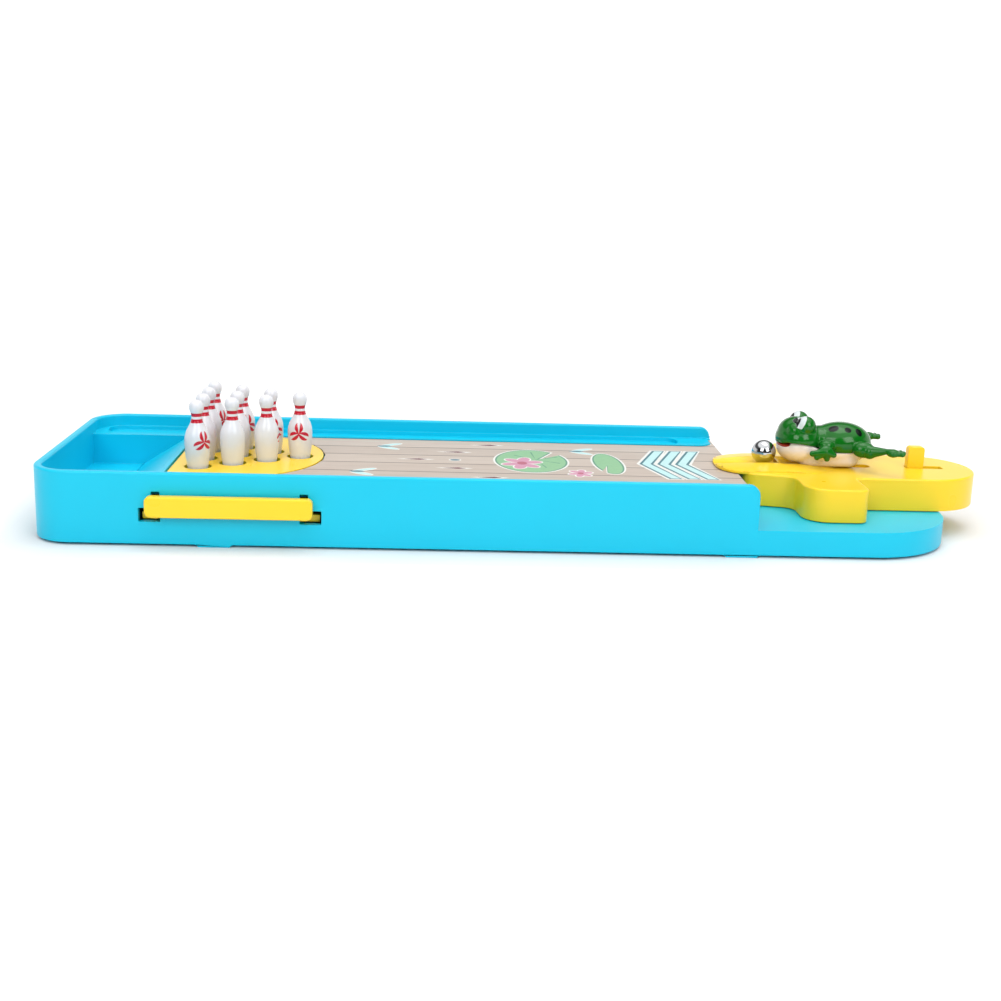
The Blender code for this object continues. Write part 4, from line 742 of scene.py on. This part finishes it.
for number, letter in enumerate("abcdefghij", 1):
    low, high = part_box("pin_%02d" % number)
    copy = bpy.data.objects.new("pin_%02d_turned" % number, pin.data.copy())
    bpy.context.scene.collection.objects.link(copy)
    facing = -math.pi / 2 + turns[number - 1]
    layer = copy.data.uv_layers["turned"]
    for face in copy.data.polygons:
        around = math.atan2(face.center.y, face.center.x)
        from_stamp = math.remainder(around - facing, math.tau)
        for corner in face.loop_indices:
            spot = copy.data.vertices[copy.data.loops[corner].vertex_index].co
            angle = math.atan2(spot.y, spot.x) if spot.xy.length > 1e-6 else around
            bend = from_stamp + math.remainder(angle - around, math.tau)
            layer.data[corner].uv = (bend * round_belly, spot.z * 1000)
    settle(copy, ((low.x + high.x) / 2, (low.y + high.y) / 2, low.z))
    put_material(copy, white_lacquer)
    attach(copy, "pin_%s" % letter)
    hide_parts("pin_%02d" % number)
bpy.data.objects.remove(pin)

# The ball: a steel bearing ball, ground and polished, that lies in the launcher's groove.

# Polished bearing steel: a clear mirror with the faintest haze, so it shows the whole studio.
mirror_steel, tree, shader, place = start_material("polished_bearing_steel")
mottle(tree, shader, place, 1.43, 4.0, ("#c9cacc", "#b9bbbe"), (0.03, 0.09))
shader.inputs["Metallic"].default_value = 1.0
low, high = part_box("steel_ball")
steel = ball("bearing_ball", (low + high) / 2, [high.x - low.x] * 3, 64, 32)
bpy.ops.object.shade_smooth()
put_material(steel, mirror_steel)
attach(steel, "ball")
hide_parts("steel_ball")

# The launcher: a yellow ABS housing, hollow from below, that turns on a post in the platform. Its
# front swells into a grooved tip over the lane's end, and two lobes at its sides take the fingers.
roof_z, ceiling_z, launcher_low = 0.0242, 0.0222, 0.0111
in_roof_z = ceiling_z + 0.001


def launcher_plan(name, inset, low, high):
    """The housing's plan, drawn in by inset: neck, lobes and a round tail."""
    front, waist, lobe, tail = 0.0175 - inset, 0.022 - inset, 0.0437 - inset, 0.0228 - inset
    neck_x, tail_x = 0.032 - inset, 0.0663 - inset
    lobe_front, lobe_rear = 0.0128 - inset, 0.0118 - inset
    half = [(-neck_x, front), (-lobe_front, waist), (-lobe_front, lobe), (lobe_rear, lobe),
            (lobe_rear, tail), (tail_x, tail)]
    half = [(pivot_x + x, y) for x, y in half]
    piece = outline_block(name, [(x, -y) for x, y in half] + half[::-1], low, high)
    roundings = (0.004 - inset, 0.004 + inset, 0.01 - inset, 0.004 - inset, 0.0008 + inset,
                 tail - 0.0001)
    for (x, y), rounding in zip(half, roundings):
        round_edges(piece, rounding, max(4, round(rounding * 1600)), upright([x], [y, -y]))
    return piece


def post(name, x, y, low, high, radius, sides):
    """An upright round post or hole in the launcher, with x measured from its pivot."""
    return rod(name, (pivot_x + x, y, (low + high) / 2), radius, high - low, sides)


housing = launcher_plan("launcher_moulding", 0.0, launcher_low, roof_z)
round_edges(housing, 0.0008, 4, on_planes(z=roof_z))
cut(housing, launcher_plan("launcher_hollow", 0.002, launcher_low - 0.001, ceiling_z))

# The tip is the low end of a long dome, cut by the trough in which the ball starts to roll
tip_ends, tip_half = (pivot_x - 0.0415, pivot_x + 0.015), 0.017
tip = box("tip", (tip_ends[0], -tip_half, sheet_top + 0.0003), (tip_ends[1], tip_half, 0.03))
round_edges(tip, 0.014, 24, upright(tip_ends, [-tip_half, tip_half]))
dome = ball("dome", (pivot_x - 0.018, 0, 0.0211), (0.066, 0.052, 0.0104), 96, 48)
boolean(tip, "INTERSECT", [dome])
along = (0, math.pi / 2, 0)
trough_radius, groove_radius = 0.011, 0.009
cut(tip, rod("trough", (pivot_x + 0.01, 0, roof_z + trough_radius - 0.0005), trough_radius, 0.052,
             96, along))
fuse(housing, tip)
cut(housing, rod("groove", (pivot_x - 0.0405, 0, roof_z + groove_radius - 0.0003), groove_radius,
                 0.049, 96, along))

# Inside: the pivot post, the bosses for the cover's screws and the slider's guides
fuse(housing, post("post", 0, 0, 0.0083, in_roof_z, 0.004, 48))
cut(housing, post("post_bore", 0, 0, 0.0073, 0.0173, 0.0018, 32))
for x, y in ((-0.0005, -0.033), (-0.0005, 0.033), (0.054, -0.012), (0.054, 0.012)):
    fuse(housing, post("boss", x, y, 0.0138, in_roof_z, 0.003, 32))
    cut(housing, post("pilot", x, y, 0.0111, 0.0201, 0.0015, 24))
for side in (-1, 1):
    near, far = sorted((side * 0.0063, side * 0.0079))
    fuse(housing, box("guide", (pivot_x + 0.008, near, 0.018), (pivot_x + 0.056, far, in_roof_z)))
stud_ends, stud_half = (pivot_x + 0.0099, pivot_x + 0.0235), 0.0028
stud_slot = box("stud_slot", (stud_ends[0], -stud_half, 0.021), (stud_ends[1], stud_half, 0.03))
round_edges(stud_slot, 0.0027, 12, upright(stud_ends, [-stud_half, stud_half]))
cut(housing, stud_slot)
cut(housing, box("tab_slot", (pivot_x + 0.0385, -0.0023, 0.021), (pivot_x + 0.0539, 0.0023, 0.03)))
split_at(housing, [(pivot_x + x, 0, 0) for x in (0.0, 0.0167, 0.0462, 0.0547)], (1, 0, 0))
split_at(housing, [(0, y, 0) for y in (-0.033, -0.012, 0.0, 0.012, 0.033)], (0, 1, 0))
soften(housing, 0.00025, 2, 40)
put_material(housing, yellow_abs)
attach(housing, "launcher")
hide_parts("launcher_housing")
put_material(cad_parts["launcher_cover"], yellow_abs)

# The striker: a yellow ABS slider under the roof, with the tab that a finger pulls back, and the
# coil spring of drawn steel wire behind it.
slider_top, slider_low, slider_half, spring_z = 0.0219, 0.0189, 0.006, 0.0195
plate_x, slider_end = pivot_x + 0.046, pivot_x + 0.048
slider = box("slider_bar", (pivot_x + 0.008, -slider_half, slider_low),
             (slider_end, slider_half, slider_top))
fuse(slider, box("spring_plate", (plate_x, -slider_half, slider_low - 0.002),
                 (slider_end, slider_half, slider_top)))
fuse(slider, rod("nub", (slider_end, 0, spring_z), 0.0014, 0.003, 24, along))
tab_top = roof_z + 0.0089
tab = box("tab", (pivot_x + 0.0388, -0.002, 0.0204), (pivot_x + 0.0456, 0.002, tab_top))
round_edges(tab, 0.0014, 6, lambda start, end: abs(start.y - end.y) > 0.001 and start.z > 0.03)
fuse(slider, tab)
cut(slider, post("stud_screw_hole", 0.0127, 0, 0.015, 0.025, 0.0015, 32))
split_at(slider, [(pivot_x + 0.0127, 0, 0)], (1, 0, 0))
soften(slider, 0.0003, 3)
put_material(slider, yellow_abs)
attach(slider, "striker")
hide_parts("striker_slider")

# Drawn spring wire: bare steel, greyer than the ball, with fine drawing marks that blur its shine.
drawn_wire, tree, shader, place = start_material("drawn_spring_wire")
mottle(tree, shader, place, 0.385, 2.0, ("#b4b2ac", "#9a9891"), (0.22, 0.4))
shader.inputs["Metallic"].default_value = 1.0
spring_low, spring_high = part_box("striker_spring")
wire_radius, coil_radius, coil_turns = 0.00025, 0.00215, 7
bpy.ops.mesh.primitive_circle_add(vertices=12, radius=wire_radius, fill_type="NOTHING",
                                  location=(0, 0, 0), rotation=(math.pi / 2, 0, 0))
spring = finish_solid("coil_spring")
bpy.ops.object.mode_set(mode="EDIT")
bpy.ops.mesh.select_all(action="SELECT")
bpy.ops.transform.rotate(value=math.pi / 2, orient_axis="Z", center_override=(0, 0, 0))
bpy.ops.transform.translate(value=(0, 0, coil_radius))
bpy.ops.object.mode_set(mode="OBJECT")
coil = spring.modifiers.new("Coil", "SCREW")
coil.axis = "X"
coil.steps = 32
coil.render_steps = 32
coil.iterations = coil_turns
coil.screw_offset = (spring_high.x - spring_low.x - wire_radius * 2) / coil_turns
coil.use_merge_vertices = True
apply_modifiers(spring)
bpy.ops.object.shade_smooth()
settle(spring, (spring_low.x + wire_radius, 0, spring_z))
put_material(spring, drawn_wire)
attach(spring, "launcher")
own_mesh(spring)
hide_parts("striker_spring")

# The screws and the washer: turned steel with bright zinc plating and a cross recess in each head.
# They go in from below, into the launcher's bosses and post and the frog's stud.

# Bright zinc plating: a cool white metal with a soft, slightly spangled shine.
bright_zinc, tree, shader, place = start_material("bright_zinc_plating")
mottle(tree, shader, place, 0.667, 3.0, ("#c9cac4", "#b3b6b5"), (0.25, 0.45))
shader.inputs["Metallic"].default_value = 1.0
for name, body, head, shank in (
        *[("cover_screw_%d" % number, "launcher", 0.0012, 0.0012) for number in range(1, 5)],
        ("pivot_screw", "launcher", 0.0018, 0.0015), ("frog_screw", "striker", 0.0012, 0.0012)):
    low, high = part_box(name)
    middle = (low + high) / 2
    wide = (high.x - low.x) / 2
    screw = rod(name + "_head", (middle.x, middle.y, low.z + head / 2), wide, head, 48)
    round_edges(screw, head * 0.3, 4, on_planes(z=low.z))
    for turn in (0.4, 0.4 + math.pi / 2):
        recess = box("recess", (-wide * 0.55, -wide * 0.12, -0.001),
                     (wide * 0.55, wide * 0.12, head * 0.55))
        settle(recess, (middle.x, middle.y, low.z), (0, 0, turn))
        cut(screw, recess)
    shank_middle = (middle.x, middle.y, (low.z + head + high.z) / 2 - 0.0001)
    fuse(screw, rod("shank", shank_middle, shank, high.z - low.z - head, 24))
    soften(screw, 0.00008, 2)
    put_material(screw, bright_zinc)
    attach(screw, body)
    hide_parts(name)
put_material(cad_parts["pivot_washer"], bright_zinc)

# The frog: two moulded halves, a green one sprayed with glossy paint and spotted by hand, and a
# cream one below it. It lies on its belly with its mouth just open in front of the ball.


def on(x, y, z):
    """A place on the launcher, from its pivot and above its roof, in millimetres."""
    return (pivot_x + x / 1000, y / 1000, roof_z + z / 1000)


def millimetres(*sizes):
    return [size / 1000 for size in sizes]


def limb(name, start, end, start_radius, end_radius, sides=24):
    """A tapered limb between two places, in three parts because its ends are round."""
    axis = Vector(end) - Vector(start)
    bpy.ops.mesh.primitive_cone_add(vertices=sides, radius1=start_radius, radius2=end_radius,
                                    depth=axis.length, location=(Vector(start) + Vector(end)) / 2,
                                    rotation=axis.to_track_quat("Z", "Y").to_euler())
    return [finish_solid(name), ball("knob", start, [start_radius * 2] * 3, 20, 12),
            ball("knob", end, [end_radius * 2] * 3, 20, 12)]


def melt(name, parts, grain, smoothing):
    """Joins overlapping parts into one skin and softens where they meet."""
    bpy.ops.object.select_all(action="DESELECT")
    for part in parts:
        part.select_set(True)
    bpy.context.view_layer.objects.active = parts[0]
    bpy.ops.object.join()
    piece = bpy.context.object
    piece.name = name
    skin = piece.modifiers.new("Skin", "REMESH")
    skin.mode = "VOXEL"
    skin.voxel_size = grain
    calm = piece.modifiers.new("Calm", "SMOOTH")
    calm.factor = 0.5
    calm.iterations = smoothing
    apply_modifiers(piece)
    bpy.ops.object.shade_smooth()
    return piece


def below_lips(name, drop):
    """The space under the frog's lip line, lowered by drop: drawn flat and then set on edge."""
    line = ((-20.7, 9.3), (-16.5, 9.5), (-14.5, 10.3), (-12.6, 10.8), (-8.0, 10.7), (-3.3, 9.6),
            (-0.8, 8.6), (2.5, 7.7), (6.6, 7.2), (26.0, 7.1))
    low, half = -12, 0.016
    corners = [(line[0][0], low), (line[-1][0], low), *[(x, z - drop) for x, z in reversed(line)]]
    corners = [(on(x, 0, z)[0], on(x, 0, z)[2]) for x, z in corners]
    return settle(outline_block(name, corners, -half, half), (0, 0, 0), (math.pi / 2, 0, 0))


parts = [
    ball("torso", on(10.1, 0, 10.3), millimetres(25.6, 20, 16.3)),
    ball("rump", on(14.8, 0, 9.3), millimetres(16.6, 18.8, 12.2)),
    ball("head", on(-7.5, 0, 11.3), millimetres(18.6, 21, 15)),
    ball("brow", on(-8.6, 0, 13.7), millimetres(15.0, 16.4, 13.2)),
    ball("nape", on(1.5, 0, 11.0), millimetres(14, 15.5, 11.5)),
]
for side in (-1, 1):
    parts.append(ball("eye", on(-6.1, side * 5.85, 17.4), millimetres(8.3, 8.2, 8.3), 32, 20))
    parts.append(ball("eyelid", on(-10.0, side * 4.9, 14.9), millimetres(7.8, 8.2, 7.8), 32, 20))
torso = melt("frog_back", parts, 0.00035, 10)
cut(torso, below_lips("lip_cut", 0.0))
parts = [torso]
toe_height = 9.3
for side in (-1, 1):
    shoulder, palm = on(2.4, side * 8.8, 10.0), on(1.5, side * 11.2, 7.9)
    parts.append(ball("shoulder", shoulder, millimetres(6.6, 4.6, 4.6), 24, 16))
    parts += limb("arm", shoulder, palm, 0.0019, 0.0019)
    parts.append(ball("palm", palm, millimetres(7.0, 3.0, 4.6), 24, 16))
    for x, z in ((-3.9, 7.2), (-2.0, 5.7), (2.2, 5.2), (4.9, 6.8)):
        fingertip = on(x, side * 11.4, z)
        parts += limb("finger", palm, fingertip, 0.0018, 0.00115, 16)
        parts.append(ball("finger_pad", fingertip, millimetres(2.5, 2.3, 2.5), 16, 10))
    hip, knee = on(15.6, side * 9.2, 9.2), on(19.5, side * 11.6, 8.4)
    ankle, foot = on(25.0, side * 16.0, 9.7), on(27.3, side * 17.3, toe_height)
    parts.append(ball("haunch", on(17.4, side * 9.9, 8.9), millimetres(9.4, 6.6, 6.6), 32, 20))
    parts += limb("thigh", hip, knee, 0.0023, 0.0029, 32)
    parts += limb("calf", knee, ankle, 0.0027, 0.0012)
    parts += limb("ankle", ankle, foot, 0.0012, 0.0018)
    parts.append(ball("foot", foot, millimetres(5.4, 5.0, 3.4), 24, 16))
    for x, y in ((30.8, 15.4), (31.4, 17.45), (30.5, 19.5)):
        toe_end = on(x, side * y, toe_height)
        parts += limb("toe", foot, toe_end, 0.0014, 0.001, 16)
        parts.append(ball("toe_pad", toe_end, millimetres(2.3, 2.3, 2.2), 16, 10))
frog = melt("frog_green_half", parts, 0.00028, 5)


def blotch(centre, size, edge=0.12):
    """A mask for an oval mark at a place on the frog."""
    half_size = millimetres(*[extent / 2 for extent in size])
    off = add_node(tree, "VectorMath", {0: place, 1: on(*centre)}, operation="SUBTRACT")
    off = add_node(tree, "VectorMath", {0: off, 1: half_size}, operation="DIVIDE")
    off = add_node(tree, "VectorMath", {0: off}, operation="LENGTH")
    return add_node(tree, "MapRange",
                    {0: off.outputs["Value"], 1: 1.0 - edge, 2: 1.0 + edge, 3: 1.0, 4: 0.0})


def either(masks):
    whole = masks[0]
    for mask in masks[1:]:
        whole = add_node(tree, "Math", {0: whole, 1: mask}, operation="MAXIMUM")
    return whole


# Glossy sprayed paint: a deep green that pools a little, with orange-peel ripples 2 mm apart and
# sharp highlights. The spots and pupils are brushed on in a flatter black.
green_gloss, tree, shader, place = start_material("glossy_green_paint")
coat = mottle(tree, shader, place, 4.55, 2.0, ("#0a6c16", "#086012"), (0.1, 0.2))
spots = either([blotch(centre, size) for centre, size in (
    ((5.6, -5.2, 16.6), (4.2, 3.2, 5.0)), ((11.2, -6.5, 16.2), (2.8, 2.6, 4.0)),
    ((15.8, -6.0, 15.0), (3.0, 3.4, 5.0)), ((13.4, 2.4, 17.8), (5.2, 3.4, 4.0)),
    ((7.6, 5.2, 16.6), (4.0, 3.4, 5.0)), ((18.6, 3.8, 13.8), (3.0, 3.6, 5.0)),
    ((21.2, -1.6, 12.4), (2.4, 3.2, 4.0)), ((1.6, 1.4, 16.4), (2.6, 3.0, 4.0)),
    ((12.6, 7.8, 14.4), (3.4, 3.0, 4.0)), ((-12.8, 3.4, 17.6), (2.2, 2.6, 3.0)))])
coat = add_node(tree, "Mix", {0: spots, 6: coat, 7: srgb("#03100a")}, data_type="RGBA").outputs[2]

# Each eye is an oval on the outer side of the head, cut by slanting borders into white and pupil
spot_x, spot_y, spot_z = add_node(tree, "SeparateXYZ", {0: place}).outputs
slant = 0.48
tilt = add_node(tree, "Math", {0: spot_z, 1: -slant, 2: slant * on(0, 0, 21.4)[2]},
                operation="MULTIPLY_ADD")
ahead = add_node(tree, "Math", {0: spot_x, 1: tilt})
outwards = add_node(tree, "Math", {0: spot_y}, operation="ABSOLUTE")
squint = add_node(tree, "Math", {0: outwards, 1: -0.34, 2: ahead}, operation="MULTIPLY_ADD")
before = add_node(tree, "MapRange", {0: squint, 1: on(-11.4, 0, 0)[0], 2: on(-11.25, 0, 0)[0]})
eyes = either([blotch((-6.6, side * 6.1, 20.0), (11.0, 9.6, 9.2), 0.03) for side in (-1, 1)])
eyes = add_node(tree, "Math", {0: eyes, 1: before}, operation="MULTIPLY")
for border, colour in ((-6.2, "#d2dadb"), (-8.15, "#0b0f0d")):
    cap = add_node(tree, "MapRange",
                   {0: ahead, 1: on(border + 0.08, 0, 0)[0], 2: on(border - 0.08, 0, 0)[0]})
    cap = add_node(tree, "Math", {0: eyes, 1: cap}, operation="MULTIPLY")
    coat = add_node(tree, "Mix", {0: cap, 6: coat, 7: srgb(colour)}, data_type="RGBA").outputs[2]
tree.links.new(coat, shader.inputs["Base Color"])
orange_peel = add_node(tree, "TexNoise", {"Vector": place, "Scale": 1000 / 2.0, "Detail": 2.0})
ripple = add_node(tree, "Bump", {"Strength": 0.1, "Distance": 0.00006, "Height": orange_peel})
tree.links.new(ripple.outputs[0], shader.inputs["Normal"])
dull = add_node(tree, "MapRange", {0: spots, 3: 0.35, 4: 0.14})
tree.links.new(dull.outputs[0], shader.inputs["Specular IOR Level"])
shader.inputs["Coat Weight"].default_value = 0.06
shader.inputs["Coat Roughness"].default_value = 0.06
put_material(frog, green_gloss)
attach(frog, "striker")
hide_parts("frog_body")

keel = box("keel", on(-8.6, -8.1, 0.45), on(18.0, 8.1, 10.0))
round_edges(keel, 0.0062, 12, upright())
round_edges(keel, 0.0034, 8, on_planes(z=on(0, 0, 0.45)[2]))
belly = melt("frog_cream_half", [
    keel,
    ball("hull", on(3.9, 0, 7.3), millimetres(38, 19.2, 13.6)),
    ball("jaw", on(-7, 0, 7.8), millimetres(18.4, 19.8, 13)),
], 0.00035, 22)
boolean(belly, "INTERSECT", [below_lips("lip_below", 0.15)])
cut(belly, rod("open_mouth", on(-14.9, 0, 12.1), 0.0036, 0.03, 64, (math.pi / 2, 0, 0)))
fuse(belly, rod("stud", on(12.7, 0, 1.4), 0.0025, 0.0074, 32))

# Cream moulded plastic: warm and pale, with an even, soft gloss from the mould.
cream_gloss, tree, shader, place = start_material("cream_moulded_plastic")
mottle(tree, shader, place, 5.56, 2.0, ("#ece0da", "#e6d8cf"), (0.22, 0.32))
put_material(belly, cream_gloss)

# Brushed red paint: it fills the open mouth as one small shiny patch.
mouth_red, tree, shader, place = start_material("red_mouth_paint")
mottle(tree, shader, place, 3.33, 2.0, ("#b53016", "#9c2410"), (0.3, 0.3))
mouth = ball("mouth", on(-8.6, 0, 9.0), millimetres(15.0, 17.6, 3.4), 64, 24)
bpy.ops.object.shade_smooth()
put_material(mouth, mouth_red)
select_only(belly)
mouth.select_set(True)
bpy.ops.object.join()
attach(belly, "striker")
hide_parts("frog_belly")
